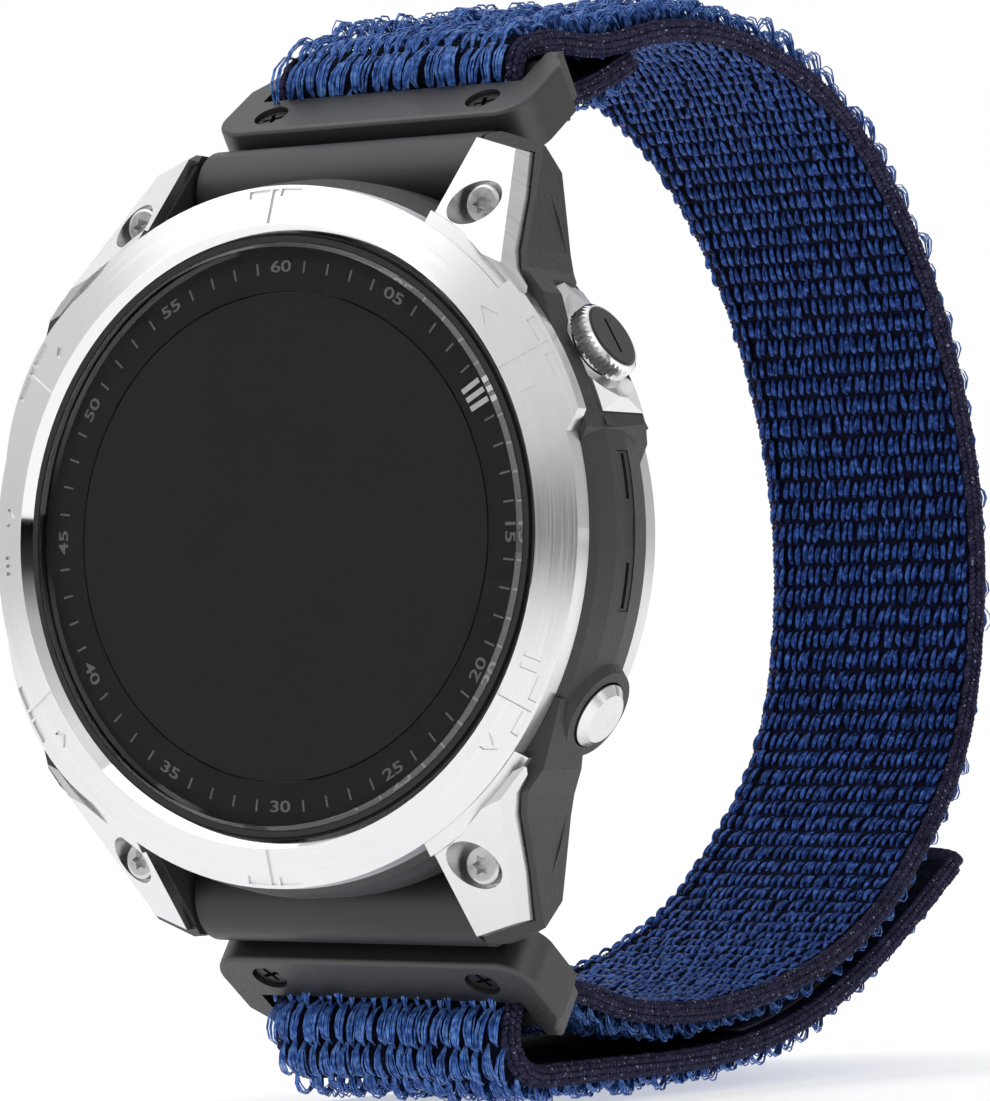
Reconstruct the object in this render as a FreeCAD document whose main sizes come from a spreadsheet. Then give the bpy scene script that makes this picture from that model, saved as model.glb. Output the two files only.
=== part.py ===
"""Round sports watch on a woven hook-and-loop band, as separate named pieces.

Frame, in millimetres: +Z is up (12 o'clock), -Y is where the dial looks, +X is 3 o'clock.
The watch stands upright on the folded underside of its band, so Z = 0 is the surface it rests on.
The origin is the middle of the bottom of the whole object's box.
"""
import FreeCAD, Part
import math
import os
import Sketcher
from FreeCAD import Placement, Rotation, Vector

doc = FreeCAD.newDocument("band_watch")

# ---------------------------------------------------------------- driving dimensions

DIMENSIONS = {
    # where the middle of the dial is in the object's frame
    "dial_x": 0.525,
    "dial_y": -42.365,
    "dial_z": 37.724,
    # glass, gasket, printed ring and display; heights count forward from the dial
    "lens_radius": 19.75,
    "lens_thick": 1.2,
    "gasket_outer": 20.2,
    "gasket_inner": 19.8,
    "gasket_bottom": -0.4,
    "gasket_height": 1.3,
    "dial_inner": 16.55,
    "dial_outer": 19.75,
    "dial_thick": 0.4,
    "panel_radius": 16.45,
    "panel_thick": 1.05,
    # bezel and case
    "bezel_bore": 20.25,
    "bezel_top_inner": 20.95,
    "bezel_top_outer": 23.65,
    "bezel_outer": 23.70,
    "bezel_back": -0.9,
    "case_radius": 24.4,
    "case_back_face": -11.0,
    "cavity_radius": 19.5,
    "back_radius": 22.0,
    "back_face": -13.3,
    "back_spigot": 19.35,
    "window_radius": 6.4,
    # inner pieces
    "board_radius": 18.6,
    "board_thick": 1.0,
    "battery_long": 24.0,
    "battery_wide": 19.0,
    "battery_thick": 3.6,
    "motor_radius": 3.9,
    "motor_thick": 2.6,
    "sounder_thick": 1.2,
    # buttons; radial distances count from the middle of the dial
    "button_depth": -5.4,
    "stem_radius": 0.8,
    "stem_bore": 0.86,
    "stem_end": 18.6,
    "seal_bore": 1.3,
    "button_radius": 2.3,
    "button_pocket": 2.42,
    "pocket_floor": 22.4,
    "button_head": 24.0,
    "button_rim": 24.95,
    "button_face": 25.45,
    # lugs and strap adapters
    "pin_radius": 0.9,
    "pin_bore": 0.95,
    "pin_depth": 9.2,
    "pin_height": 24.4,
    "lug_inner": 11.75,
    "adapter_tilt": 35.0,
    "screw_depth": 10.9,
    "screw_height": 29.85,
    "barrel_radius": 3.2,
    "barrel_half": 11.3,
    "frame_half": 13.0,
    "frame_thick": 3.6,
    "slot_half": 10.8,
    "bar_radius": 1.0,
    "bar_along": 6.0,
    "bar_down": 1.2,
    # woven band
    "band_width": 20.0,
    "band_thick": 1.6,
    "bar_gap": 0.15,
    "patch_thick": 0.9,
}

sheet = doc.addObject("Spreadsheet::Sheet", "Dimensions")
for row, (alias, value) in enumerate(DIMENSIONS.items(), start=1):
    sheet.set(f"A{row}", alias)
    sheet.set(f"B{row}", str(value))
    sheet.setAlias(f"B{row}", alias)
doc.recompute()


def dim(alias):
    """A driving dimension, read from the sheet."""
    return float(getattr(sheet, alias))


HEAD = Placement(Vector(dim("dial_x"), dim("dial_y"), dim("dial_z")), Rotation(Vector(1, 0, 0), 90))
DIAL = Placement(HEAD.Base, Rotation())
subparts = []


def keep(piece, label):
    """Name a finished sub-part, which names its file."""
    piece.Label = label
    subparts.append(piece)
    return piece


# ---------------------------------------------------------------- shape helpers


def polygon(points, z=0.0):
    """A closed flat face through (x, y) points at height z."""
    corners = [Vector(x, y, z) for x, y in points]
    return Part.Face(Part.makePolygon(corners + corners[:1]))


def prism(points, bottom, top):
    """An outline of (x, y) points, pulled up from bottom to top."""
    return polygon(points, bottom).extrude(Vector(0, 0, top - bottom))


def revolved(points, angle=360.0, start=0.0):
    """A profile of (radius, z) points turned about Z, starting at an angle from +X."""
    corners = [Vector(r, 0, z) for r, z in points]
    face = Part.Face(Part.makePolygon(corners + corners[:1]))
    solid = face.revolve(Vector(), Vector(0, 0, 1), angle)
    solid.rotate(Vector(), Vector(0, 0, 1), start)
    return solid


def rod(radius, start, end):
    """A round rod between two points."""
    start, end = Vector(*start), Vector(*end)
    return Part.makeCylinder(radius, (end - start).Length, start, end - start)


def block(x0, x1, y0, y1, z0, z1):
    """A box between two corners."""
    return Part.makeBox(x1 - x0, y1 - y0, z1 - z0, Vector(x0, y0, z0))


def mirrored_x(shape):
    return shape.mirror(Vector(), Vector(1, 0, 0))


def mirrored_y(shape):
    return shape.mirror(Vector(), Vector(0, 1, 0))


def four_corners(shape):
    """A shape at the right top lug, copied to all four lugs."""
    right = [shape, mirrored_y(shape)]
    return right + [mirrored_x(piece) for piece in right]


def feature(label, shape, place):
    """A sub-part whose shape is made with Part's own functions."""
    piece = doc.addObject("Part::Feature", label)
    piece.Shape = shape
    piece.Placement = place.multiply(shape.Placement)
    return keep(piece, label)


def single(shape):
    """The one solid of a boolean's result."""
    shape = shape.removeSplitter()
    return shape.Solids[0] if len(shape.Solids) == 1 else shape


# ---------------------------------------------------------------- PartDesign helpers


def plane_of(body, role):
    return next(item for item in body.Origin.OriginFeatures if item.Role == role)


def ring_sketch(body, name, outer, inner, height):
    """One or two circles about the body's Z, at a height, with sizes from the sheet."""
    sketch = body.newObject("Sketcher::SketchObject", name)
    sketch.AttachmentSupport = [(plane_of(body, "XY_Plane"), "")]
    sketch.MapMode = "FlatFace"
    sketch.setExpression("AttachmentOffset.Base.z", height)
    for index, radius in enumerate([outer] + ([inner] if inner else [])):
        sketch.addGeometry(Part.Circle(Vector(), Vector(0, 0, 1), 5.0 - index), False)
        sketch.addConstraint(Sketcher.Constraint("Coincident", index, 3, -1, 1))
        number = sketch.addConstraint(Sketcher.Constraint("Radius", index, 5.0 - index))
        sketch.setExpression(f"Constraints[{number}]", radius)
    return sketch


def ring_body(label, outer, height, bottom, inner=None, chamfer=None):
    """A disc or ring padded forward from a height, with an optional front chamfer."""
    body = doc.addObject("PartDesign::Body", label)
    sketch = ring_sketch(body, label + "_outline", outer, inner, bottom)
    pad = body.newObject("PartDesign::Pad", label + "_pad")
    pad.Profile = sketch
    pad.setExpression("Length", height)
    body.Tip = pad
    doc.recompute()
    if chamfer:
        front = max(pad.Shape.Edges, key=lambda edge: edge.BoundBox.ZMin + edge.BoundBox.XLength)
        number = [edge.isSame(front) for edge in pad.Shape.Edges].index(True) + 1
        bevel = body.newObject("PartDesign::Chamfer", label + "_chamfer")
        bevel.Base = (pad, [f"Edge{number}"])
        bevel.Size = chamfer
        body.Tip = bevel
    body.Placement = HEAD
    return keep(body, label)


# ---------------------------------------------------------------- glass, dial and display

DIAL_GAP = 0.5

ring_body("lens", "Dimensions.lens_radius", "Dimensions.lens_thick", "0", chamfer=0.3)
ring_body(
    "lens_gasket",
    "Dimensions.gasket_outer",
    "Dimensions.gasket_height",
    "Dimensions.gasket_bottom",
    inner="Dimensions.gasket_inner",
)
ring_body(
    "minute_ring",
    "Dimensions.dial_outer",
    "Dimensions.dial_thick",
    f"-Dimensions.dial_thick - {DIAL_GAP}",
    inner="Dimensions.dial_inner",
)
ring_body(
    "display_panel",
    "Dimensions.panel_radius",
    "Dimensions.panel_thick",
    f"-Dimensions.panel_thick - {DIAL_GAP}",
)

FRAME_RADIUS = 19.3
FRAME_BACK, FRAME_RIM, FRAME_FLOOR = -2.35, -0.95, -1.6
display_frame = revolved(
    [
        (0, FRAME_BACK),
        (FRAME_RADIUS, FRAME_BACK),
        (FRAME_RADIUS, FRAME_RIM),
        (17.0, FRAME_RIM),
        (17.0, FRAME_FLOOR),
        (0, FRAME_FLOOR),
    ]
)
feature("display_frame", display_frame, HEAD)

# ---------------------------------------------------------------- bezel with its lug plates

PLATE_SLOPE_Y = -0.90
PLATE_SLOPE_X = -0.40
PLATE_THICK = 1.25
PLATE_TOP = 0.15
LUG_SCREW = (13.95, 21.95)
COUNTERBORE = 1.6
TAB_RADIUS = 24.75


def plate_height(x, y, drop=0.0):
    """Height of the sloping lug plate's face over a point of the right top lug."""
    return -0.6 + PLATE_SLOPE_Y * (y - 21.0) + PLATE_SLOPE_X * (x - 11.7) - drop


def under_plate(drop=0.0):
    """Everything behind the plane of the lug plate's face, over the right top lug."""
    corners = [(8, 8), (32, 8), (32, 32), (8, 32)]
    top = [Vector(x, y, plate_height(x, y, drop)) for x, y in corners]
    face = Part.Face(Part.makePolygon(top + top[:1]))
    return face.extrude(Vector(0, 0, -40))


def face_height(radius):
    """Height of the bezel's conical face."""
    return 1.35 - (radius - dim("bezel_top_inner")) / 3.0


def bezel_ring():
    """The turned ring: polished inner slope, brushed top, outer facet."""
    back = dim("bezel_back")
    return revolved(
        [
            (dim("bezel_bore"), back),
            (dim("bezel_outer"), back),
            (dim("bezel_top_outer"), face_height(dim("bezel_top_outer"))),
            (dim("bezel_top_inner"), face_height(dim("bezel_top_inner"))),
            (dim("bezel_bore"), 0.72),
        ]
    )


def button_tab():
    """The stretch of bezel that steps out beside the start button."""
    back = dim("bezel_back")
    inner, outer = 22.0, TAB_RADIUS
    profile = [(inner, back), (outer, back), (outer, face_height(outer)), (inner, face_height(inner))]
    wide = revolved(profile, 30.0, 12.0)
    outline = [(16.5, 18.5), (19.6, 15.9), (26.0, 12.9), (23.5, 7.8), (22.0, 4.65), (15.0, 12.0)]
    return wide.common(prism(outline, -2.0, 2.0))


SIDE_TABS = (237.0, 301.0)
TAB_CENTRE = 10.0
TAB_ARC = 14.35


def side_tab(angle):
    """A gentle swell of the ring beside a left-hand button, at a clock angle."""
    back = dim("bezel_back")
    inner, outer = 22.0, TAB_CENTRE + TAB_ARC
    profile = [(inner, back), (outer, back), (outer, face_height(outer)), (inner, face_height(inner))]
    wide = revolved(profile, 50.0, 65.0 - angle)
    turn = math.radians(angle)
    x, y = TAB_CENTRE * math.sin(turn), TAB_CENTRE * math.cos(turn)
    return wide.common(rod(TAB_ARC, (x, y, -2), (x, y, 3)))


def lug_plate():
    """One sloping plate with its outer facet and counterbore."""
    outline = [
        (dim("lug_inner"), 19.0),
        (dim("lug_inner") + 0.15, 26.8),
        (15.45, 25.65),
        (16.6, 22.4),
        (17.75, 18.5),
        (18.4, 17.15),
        (19.6, 15.6),
        (17.5, 13.5),
    ]
    solid = prism(outline, -12.0, 3.0).common(under_plate())
    edge_start = Vector(14.75, 25.9, plate_height(14.75, 25.9))
    edge_end = Vector(17.45, 17.9, plate_height(17.45, 17.9))
    outward = Vector(0.95, 0.32, -1.75)
    facet = Part.Face(
        Part.makePolygon(
            [
                edge_start * 1.5 - edge_end * 0.5,
                edge_end * 1.5 - edge_start * 0.5,
                edge_end * 1.5 - edge_start * 0.5 + outward * 5,
                edge_start * 1.5 - edge_end * 0.5 + outward * 5,
                edge_start * 1.5 - edge_end * 0.5,
            ]
        )
    )
    solid = solid.cut(facet.extrude(Vector(6, 2, 6)))
    hollow = under_plate(PLATE_THICK)
    solid = solid.cut(hollow).cut(rod(24.3, (0, 0, -20), (0, 0, 5)))
    solid = solid.cut(block(8, 30, 8, 30, PLATE_TOP, 5))
    strip = revolved([(22.5, -0.9), (23.6, -0.9), (24.3, -1.9), (24.4, -0.45), (23.65, 0.3), (22.5, 0.45)])
    strip = strip.common(prism([(11.75, 18), (11.75, 24), (21.5, 16.5), (17.5, 13.5)], -3, 2))
    solid = solid.fuse(strip)
    bore_bottom = plate_height(*LUG_SCREW) - 2.2
    bore = rod(COUNTERBORE, (*LUG_SCREW, bore_bottom), (*LUG_SCREW, 3.0))
    boss = rod(COUNTERBORE + 0.5, (*LUG_SCREW, bore_bottom - 0.7), (*LUG_SCREW, -0.6))
    solid = solid.fuse(boss.common(under_plate(0.4))).cut(bore)
    return solid.cut(rod(0.9, (*LUG_SCREW, -9.0), (*LUG_SCREW, 3.0)))


def radial_cut(angle, inner, outer, width, depth):
    """A shallow groove in the bezel's face, running outward at a clock angle."""
    slope = -1.0 / 3.0
    face = [(inner, -width / 2), (outer, -width / 2), (outer, width / 2), (inner, width / 2)]
    low = [Vector(x, y, 1.35 + slope * (x - 20.95) - depth) for x, y in face]
    solid = Part.Face(Part.makePolygon(low + low[:1])).extrude(Vector(0, 0, 3))
    solid.rotate(Vector(), Vector(0, 0, 1), 90.0 - angle)
    return solid


def icon_cut(angle, outline, depth=0.14):
    """A shallow engraved icon, drawn with its top outward at a clock angle."""
    solid = prism(outline, -depth, 1.0)
    solid.rotate(Vector(), Vector(0, 1, 0), math.degrees(math.atan(1.0 / 3.0)))
    solid.translate(Vector(22.15, 0, 0.95))
    solid.rotate(Vector(), Vector(0, 0, 1), 90.0 - angle)
    return solid


def bars(count, long, thick, pitch):
    """Parallel bars, side by side across the ring."""
    first = -(count - 1) * pitch / 2
    return [
        [(-long / 2, first + n * pitch - thick / 2), (long / 2, first + n * pitch - thick / 2),
         (long / 2, first + n * pitch + thick / 2), (-long / 2, first + n * pitch + thick / 2)]
        for n in range(count)
    ]


def icons():
    """Plain pictures for what each button does."""
    triangle = [[(-0.6, -0.65), (0.6, -0.65), (0, 0.65)]]
    square = [[(-0.55, -0.55), (0.55, -0.55), (0.55, 0.55), (-0.55, 0.55)]]
    chevron = [[(-0.6, -0.5), (0.0, 0.25), (0.6, -0.5), (0.6, -0.1), (0.0, 0.65), (-0.6, -0.1)]]
    left = [[(y, -x) for x, y in shape] for shape in chevron]
    down = [[(-x, y) for x, y in left[0]]]
    sun = [[(0.5 * math.cos(math.radians(60 * n)), 0.5 * math.sin(math.radians(60 * n))) for n in range(6)]]
    return [
        (50.0, triangle),
        (67.0, square),
        (113.0, bars(2, 1.2, 0.35, 0.8)),
        (129.0, left),
        (232.5, down),
        (266.0, bars(3, 1.1, 0.25, 0.55)),
        (274.5, [[(-x, -y) for x, y in left[0]]]),
        (306.5, sun),
    ]


def bezel():
    """Ring, tab and four plates in one piece, with its grooves and icons."""
    tabs = [button_tab()] + [side_tab(angle) for angle in SIDE_TABS]
    solid = bezel_ring().multiFuse(tabs + four_corners(lug_plate()))
    opening = rod(dim("bezel_bore"), (0, 0, -20), (0, 0, 5))
    cuts = [opening]
    for angle, outer in [(0, 23.4), (60.5, 24.5), (120, 23.4), (180, 23.4), (240, 24.1), (300, 24.1)]:
        cuts.append(radial_cut(angle, 21.0, outer, 0.55, 0.16))
        for side in (-1, 1):
            bar = radial_cut(angle + side * 3.2, outer - 0.55, outer, 1.7, 0.16)
            cuts.append(bar)
    for angle, outlines in icons():
        cuts += [icon_cut(angle, outline) for outline in outlines]
    for cut in cuts:
        solid = solid.cut(cut)
    return single(solid)


BEZEL = bezel()
feature("bezel", BEZEL, HEAD)


def star(outer, inner, points):
    """A star outline, for a six-lobe drive."""
    step = math.pi / points
    radii = [outer if n % 2 == 0 else inner for n in range(2 * points)]
    return [(r * math.cos(n * step), r * math.sin(n * step)) for n, r in enumerate(radii)]


def six_lobe_screw(head_radius, head_height, shank_radius, shank_length):
    """A cheese-head screw with its head's top at Z = 0."""
    head = Part.makeCylinder(head_radius, head_height, Vector(0, 0, -head_height))
    top = [edge for edge in head.Edges if abs(edge.BoundBox.ZMin) < 0.001 and edge.Closed]
    head = head.makeFillet(0.25, top)
    shank = Part.makeCylinder(shank_radius, shank_length, Vector(0, 0, -head_height - shank_length))
    drive = prism(star(head_radius * 0.58, head_radius * 0.36, 6), -0.55, 0.1)
    return single(head.fuse(shank).cut(drive))


SCREW_HEAD_RADIUS = 1.32
lug_screw = six_lobe_screw(SCREW_HEAD_RADIUS, 1.2, 0.8, 4.2)
lug_screw.translate(Vector(*LUG_SCREW, plate_height(*LUG_SCREW) - 0.95))
feature("bezel_screws", Part.makeCompound(four_corners(lug_screw)), HEAD)

# ---------------------------------------------------------------- polymer case

BUTTONS = {
    "start": 60.5,
    "back": 119.0,
    "down": 241.0,
    "up": 270.0,
    "light": 299.0,
}
SWITCH_TOP = 18.15
POST_RADIUS = 1.6
POST_PLACE = 12.9
POST_BACK = -10.0
POST_FRONT = -4.7
CASE_PROFILE = [
    (19.5, -0.95),
    (23.6, -0.95),
    (24.1, -1.5),
    (24.4, -3.2),
    (24.4, -5.6),
    (24.0, -7.6),
    (23.0, -9.4),
    (21.9, -11.0),
    (19.5, -11.0),
]


def button_place(angle):
    """Local Z runs out of the case along a button's axis, from the middle of the dial."""
    turn = math.radians(angle)
    out = Vector(math.sin(turn), math.cos(turn), 0)
    side = Vector(-math.cos(turn), math.sin(turn), 0)
    return Placement(Vector(0, 0, dim("button_depth")), Rotation(side, Vector(0, 0, 1), out, "ZXY"))


def placed(shape, place):
    shape = shape.copy()
    shape.Placement = place.multiply(shape.Placement)
    return shape


LUG_BEVELS = [
    (Vector(17.6, 19.5, -8.3), Vector(1, 0, -1)),
    (Vector(15.9, 26.2, -8.2), Vector(1, 1.1, -1.1)),
    (Vector(13.0, 27.2, -9.2), Vector(0, 1, -1)),
]


def beyond(point, normal):
    """A big block on the far side of a plane, for bevelling."""
    side = Rotation(Vector(0, 0, 1), normal)
    solid = block(-30, 30, -30, 30, 0, 30)
    solid.Placement = Placement(point, side)
    return solid


def lug():
    """One polymer lug behind its plate, with the raised rib on its side."""
    inner = dim("lug_inner")
    outline = [
        (inner, 15.0),
        (inner, 27.2),
        (12.6, 27.35),
        (15.9, 26.2),
        (17.0, 22.6),
        (18.15, 18.7),
        (18.8, 17.3),
        (20.2, 15.6),
        (21.5, 11.0),
        (17.0, 10.0),
    ]
    solid = prism(outline, -11.6, 1.0).common(under_plate(PLATE_THICK + 0.03))
    lip = prism(outline, -11.6, 1.0).common(under_plate(1.1))
    plate_outline = [(10.0, 10.0), (10.0, 27.0), (15.55, 25.72), (16.7, 22.43)]
    plate_outline += [(17.87, 18.53), (18.52, 17.2), (20.4, 14.9)]
    plate_room = prism(plate_outline, -12.0, 3.0)
    lip = lip.cut(plate_room)
    solid = solid.fuse(lip)
    for point, normal in LUG_BEVELS:
        solid = solid.cut(beyond(point, normal))
    solid = solid.cut(block(8, 30, 8, 17.2, -0.95, 5))
    rib = prism([(16.2, 23.6), (16.66, 23.6), (17.64, 20.8), (18.28, 18.2), (17.8, 18.2)], -7.7, -7.2)
    return solid.fuse(rib)


BARREL_GAP = 0.2
LATCH_GAP = 0.9
PIN_HALF = 14.3
VENT_FLOOR = 22.75
VENT_HALF = 5.3
VENT_SIDES = (-5.6, -4.2)
START_POCKET = 1.95
RING_RADIUS = 2.72
SCOOP_FLOOR = 24.3
GUARD_ENDS = (49.4, 71.5)
GUARD_PROFILE = [(22.4, -8.0), (24.9, -8.0), (25.45, -5.0), (24.6, -3.3), (22.4, -3.3)]
SHOULDER_PROFILE = [(21.0, -9.3), (23.9, -9.3), (24.75, -8.2), (24.42, -3.2), (24.42, -0.95), (21.0, -0.95)]


def sector(profile, first, last):
    """A profile turned about the dial's axis between two clock angles."""
    return revolved(profile, last - first, 90.0 - last)


def guard_room(gap):
    """The space that the start button's guard fills, open to the outside."""
    front, rear = -3.3 + gap, -8.0 - gap
    inner = 22.4 - gap
    profile = [(inner, rear), (27.0, rear), (27.0, front), (inner, front)]
    turn = math.degrees(gap / 24.0)
    return sector(profile, GUARD_ENDS[0] - turn, GUARD_ENDS[1] + turn)


def guard_shoulder():
    """The polymer that steps out round the guard."""
    outline = [(14.0, 20.0), (18.2, 17.2), (26.0, 13.0), (23.8, 7.4), (22.4, 4.2), (14.0, 9.0)]
    return sector(SHOULDER_PROFILE, 44.0, 80.0).common(prism(outline, -12.0, 2.0))


def case_outside():
    """The case's skin: turned body, four lugs and a collar round each button."""
    solid = revolved(CASE_PROFILE)
    pieces = four_corners(lug())
    for name, angle in BUTTONS.items():
        if name == "start":
            continue
        collar = Part.makeCone(4.3, 3.1, 2.4, Vector(0, 0, 22.4))
        pieces.append(placed(collar, button_place(angle)))
    ledge = block(-5.6, 5.6, -3.3, 2.0, 20.5, 23.95)
    pieces.append(placed(ledge, button_place(BUTTONS["start"])))
    pieces.append(guard_shoulder())
    return solid.multiFuse(pieces)


def mid_case():
    """The case, hollowed and bored for everything it holds."""
    solid = case_outside()
    cavity = dim("cavity_radius")
    cuts = [rod(cavity, (0, 0, -14), (0, 0, 3))]
    above = revolved([(0, -0.94), (25.3, -0.94), (25.3, 5.0), (0, 5.0)])
    cuts.append(above.common(rod(24.45, (0, 0, -2), (0, 0, 6))))
    for name, angle in BUTTONS.items():
        place = button_place(angle)
        pocket = dim("button_pocket") if name != "start" else START_POCKET
        tools = [
            rod(dim("stem_bore"), (0, 0, 17), (0, 0, 27)),
            rod(dim("seal_bore"), (0, 0, 20.2), (0, 0, 27)),
            rod(pocket, (0, 0, dim("pocket_floor")), (0, 0, 30)),
        ]
        cuts += [placed(tool, place) for tool in tools]
    start_place = button_place(BUTTONS["start"])
    cuts.append(guard_room(0.04))
    cuts.append(placed(rod(RING_RADIUS + 0.12, (0, 0, SCOOP_FLOOR + 0.1), (0, 0, 30)), start_place))
    cuts.append(block(VENT_FLOOR, 26.0, -VENT_HALF, VENT_HALF, *VENT_SIDES))
    back_seat = rod(dim("back_radius") + 0.06, (0, 0, -14), (0, 0, dim("case_back_face")))
    cuts.append(back_seat)
    gasket_groove = revolved([(19.9, -11.5), (20.7, -11.5), (20.7, -10.5), (19.9, -10.5)])
    cuts.append(gasket_groove)
    for side in (-1, 1):
        axis = (side * dim("pin_height"), -dim("pin_depth"))
        inner = dim("lug_inner")
        cuts.append(rod(dim("pin_bore"), (-PIN_HALF - 0.1, *axis), (PIN_HALF + 0.1, *axis)))
        cuts.append(rod(dim("barrel_radius") + BARREL_GAP, (-inner, *axis), (inner, *axis)))
    bottom = plate_height(*LUG_SCREW) - 2.2
    hole = rod(COUNTERBORE + 0.55, (*LUG_SCREW, bottom - 0.75), (*LUG_SCREW, 3.0))
    thread = rod(0.82, (*LUG_SCREW, bottom - 4.5), (*LUG_SCREW, 3.0))
    cuts += four_corners(hole.fuse(thread))
    for cut in cuts + [BEZEL]:
        solid = solid.cut(cut)
    post = rod(POST_RADIUS, (POST_PLACE, POST_PLACE, POST_BACK), (POST_PLACE, POST_PLACE, POST_FRONT))
    web = block(0, 5.0, -0.6, 0.6, POST_BACK, POST_FRONT)
    web.rotate(Vector(), Vector(0, 0, 1), 45.0)
    web.translate(Vector(POST_PLACE, POST_PLACE, 0))
    post = post.fuse(web).common(rod(22, (0, 0, -11), (0, 0, -3)))
    thread = rod(0.72, (POST_PLACE, POST_PLACE, -14), (POST_PLACE, POST_PLACE, POST_FRONT - 0.8))
    solid = solid.multiFuse(four_corners(post))
    for cut in four_corners(thread):
        solid = solid.cut(cut)
    return single(solid)


feature("mid_case", mid_case(), HEAD)

# ---------------------------------------------------------------- guard and side vent


def button_guard():
    """Two-faceted steel guard round the start button, bevelled at its lower end."""
    solid = sector(GUARD_PROFILE, *GUARD_ENDS)
    low, side = math.radians(GUARD_ENDS[1]), math.radians(69.3)
    ridge = Vector(25.45 * math.sin(side), 25.45 * math.cos(side), -5.0)
    front = Vector(24.6 * math.sin(low), 24.6 * math.cos(low), -3.3)
    rear = Vector(24.9 * math.sin(low), 24.9 * math.cos(low), -8.0)
    normal = (front - ridge).cross(rear - ridge)
    if normal.dot(Vector(1, 0, 0)) < 0:
        normal = -normal
    solid = solid.cut(beyond(ridge, normal))
    start_place = button_place(BUTTONS["start"])
    flare = Part.makeCone(RING_RADIUS + 0.2, RING_RADIUS + 2.6, 1.5, Vector(0, 0, SCOOP_FLOOR))
    for cut in (rod(START_POCKET, (0, 0, 20), (0, 0, 27)), flare):
        solid = solid.cut(placed(cut, start_place))
    return single(solid)


feature("button_guard", button_guard(), HEAD)


def side_vent():
    """Insert in the case's side with two slots over the microphone and pressure port."""
    gap = 0.05
    half, low, high = VENT_HALF - gap, VENT_SIDES[0] + gap, VENT_SIDES[1] - gap
    solid = block(VENT_FLOOR + gap, 24.3, -half, half, low, high)
    for middle in (-3.6, 3.6):
        solid = solid.cut(block(23.4, 25, middle - 1.5, middle + 1.5, -5.1, -4.7))
    return solid.common(rod(24.33, (0, 0, -7), (0, 0, -3)))


feature("side_vent", side_vent(), HEAD)

# ---------------------------------------------------------------- back of the case


def case_back():
    """Steel back with a spigot, a raised sensor ring and a socket for charging."""
    top = dim("case_back_face") - 0.05
    face = dim("back_face")
    rim = dim("back_radius")
    spigot = dim("back_spigot")
    solid = revolved(
        [
            (0, face),
            (rim - 1.3, face),
            (rim, face + 1.0),
            (rim, top),
            (spigot, top),
            (spigot, -10.15),
            (17.8, -10.15),
            (17.8, face + 0.9),
            (0, face + 0.9),
        ]
    )
    low, high = face - 0.6, face + 0.5
    ring = revolved([(6.5, high), (11.0, high), (11.0, face - 0.1), (9.6, low), (6.5, low)])
    solid = solid.fuse(ring)
    solid = solid.cut(rod(dim("window_radius") + 0.05, (0, 0, -20), (0, 0, -5)))
    solid = solid.cut(block(-3.6, 3.6, -15.6, -12.0, -20, -11))
    for way in (-1, 1):
        axis = (way * dim("pin_height"), -dim("pin_depth"))
        solid = solid.cut(rod(dim("barrel_radius") + LATCH_GAP, (-15, *axis), (15, *axis)))
    for x in (-1, 1):
        for y in (-1, 1):
            middle = (x * POST_PLACE, y * POST_PLACE)
            pad = rod(1.75, (*middle, face + 0.3), (*middle, -10.15))
            solid = solid.fuse(pad.common(rod(spigot, (0, 0, -14), (0, 0, -10))))
            solid = solid.cut(rod(1.35, (*middle, -20), (*middle, -12.3)))
            solid = solid.cut(rod(0.85, (*middle, -20), (*middle, -10)))
    return single(solid)


feature("case_back", case_back(), HEAD)
ring_body("back_gasket", "20.65", "0.5", "Dimensions.case_back_face", inner="19.95")
ring_body("sensor_window", "Dimensions.window_radius", "1.5", "Dimensions.back_face - 0.9", chamfer=None)

back_screw = six_lobe_screw(1.3, 0.75, 0.7, 5.4)
back_screw.rotate(Vector(), Vector(1, 0, 0), 180)
back_screw.translate(Vector(POST_PLACE, POST_PLACE, dim("back_face") + 0.2))
feature("case_back_screws", Part.makeCompound(four_corners(back_screw)), HEAD)


def sensor_board():
    """Round board behind the window with its light sources and detectors."""
    solid = Part.makeCylinder(7.5, 0.7, Vector(0, 0, -12.4))
    for turn in range(0, 360, 90):
        light = block(3.0, 4.4, -0.7, 0.7, -12.65, -12.3)
        light.rotate(Vector(), Vector(0, 0, 1), turn)
        solid = solid.fuse(light)
    for turn in range(45, 360, 90):
        cell = block(2.2, 4.2, -1.0, 1.0, -12.6, -12.3)
        cell.rotate(Vector(), Vector(0, 0, 1), turn)
        solid = solid.fuse(cell)
    return single(solid.fuse(block(-1.0, 1.0, -1.0, 1.0, -12.6, -12.3)))


feature("sensor_board", sensor_board(), HEAD)


def charge_contacts():
    """Plastic block with four spring-loaded contact tips, seen from the back."""
    solid = block(-3.55, 3.55, -15.55, -12.05, -12.9, -12.0)
    solid = solid.fuse(block(-4.4, 4.4, -16.2, -11.4, -12.4, -11.8))
    for index in range(4):
        x = -2.25 + 1.5 * index
        solid = solid.fuse(rod(0.38, (x, -13.8, -13.2), (x, -13.8, -12.5)))
    return single(solid)


feature("charge_contacts", charge_contacts(), HEAD)

# ---------------------------------------------------------------- inside the case


def bound_box(label, sizes, corner, fillet):
    """A rounded box whose edges along Z are filleted, with sizes from the sheet."""
    box = doc.addObject("Part::Box", label + "_box")
    for side, size in zip(("Length", "Width", "Height"), sizes):
        box.setExpression(side, size)
    doc.recompute()
    round_box = doc.addObject("Part::Fillet", label)
    round_box.Base = box
    upright = [n for n, edge in enumerate(box.Shape.Edges, start=1) if edge.BoundBox.ZLength > 0.5]
    round_box.Edges = [(n, fillet, fillet) for n in upright]
    doc.recompute()
    round_box.Placement = HEAD.multiply(Placement(Vector(*corner), Rotation()))
    return keep(round_box, label)


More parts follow.
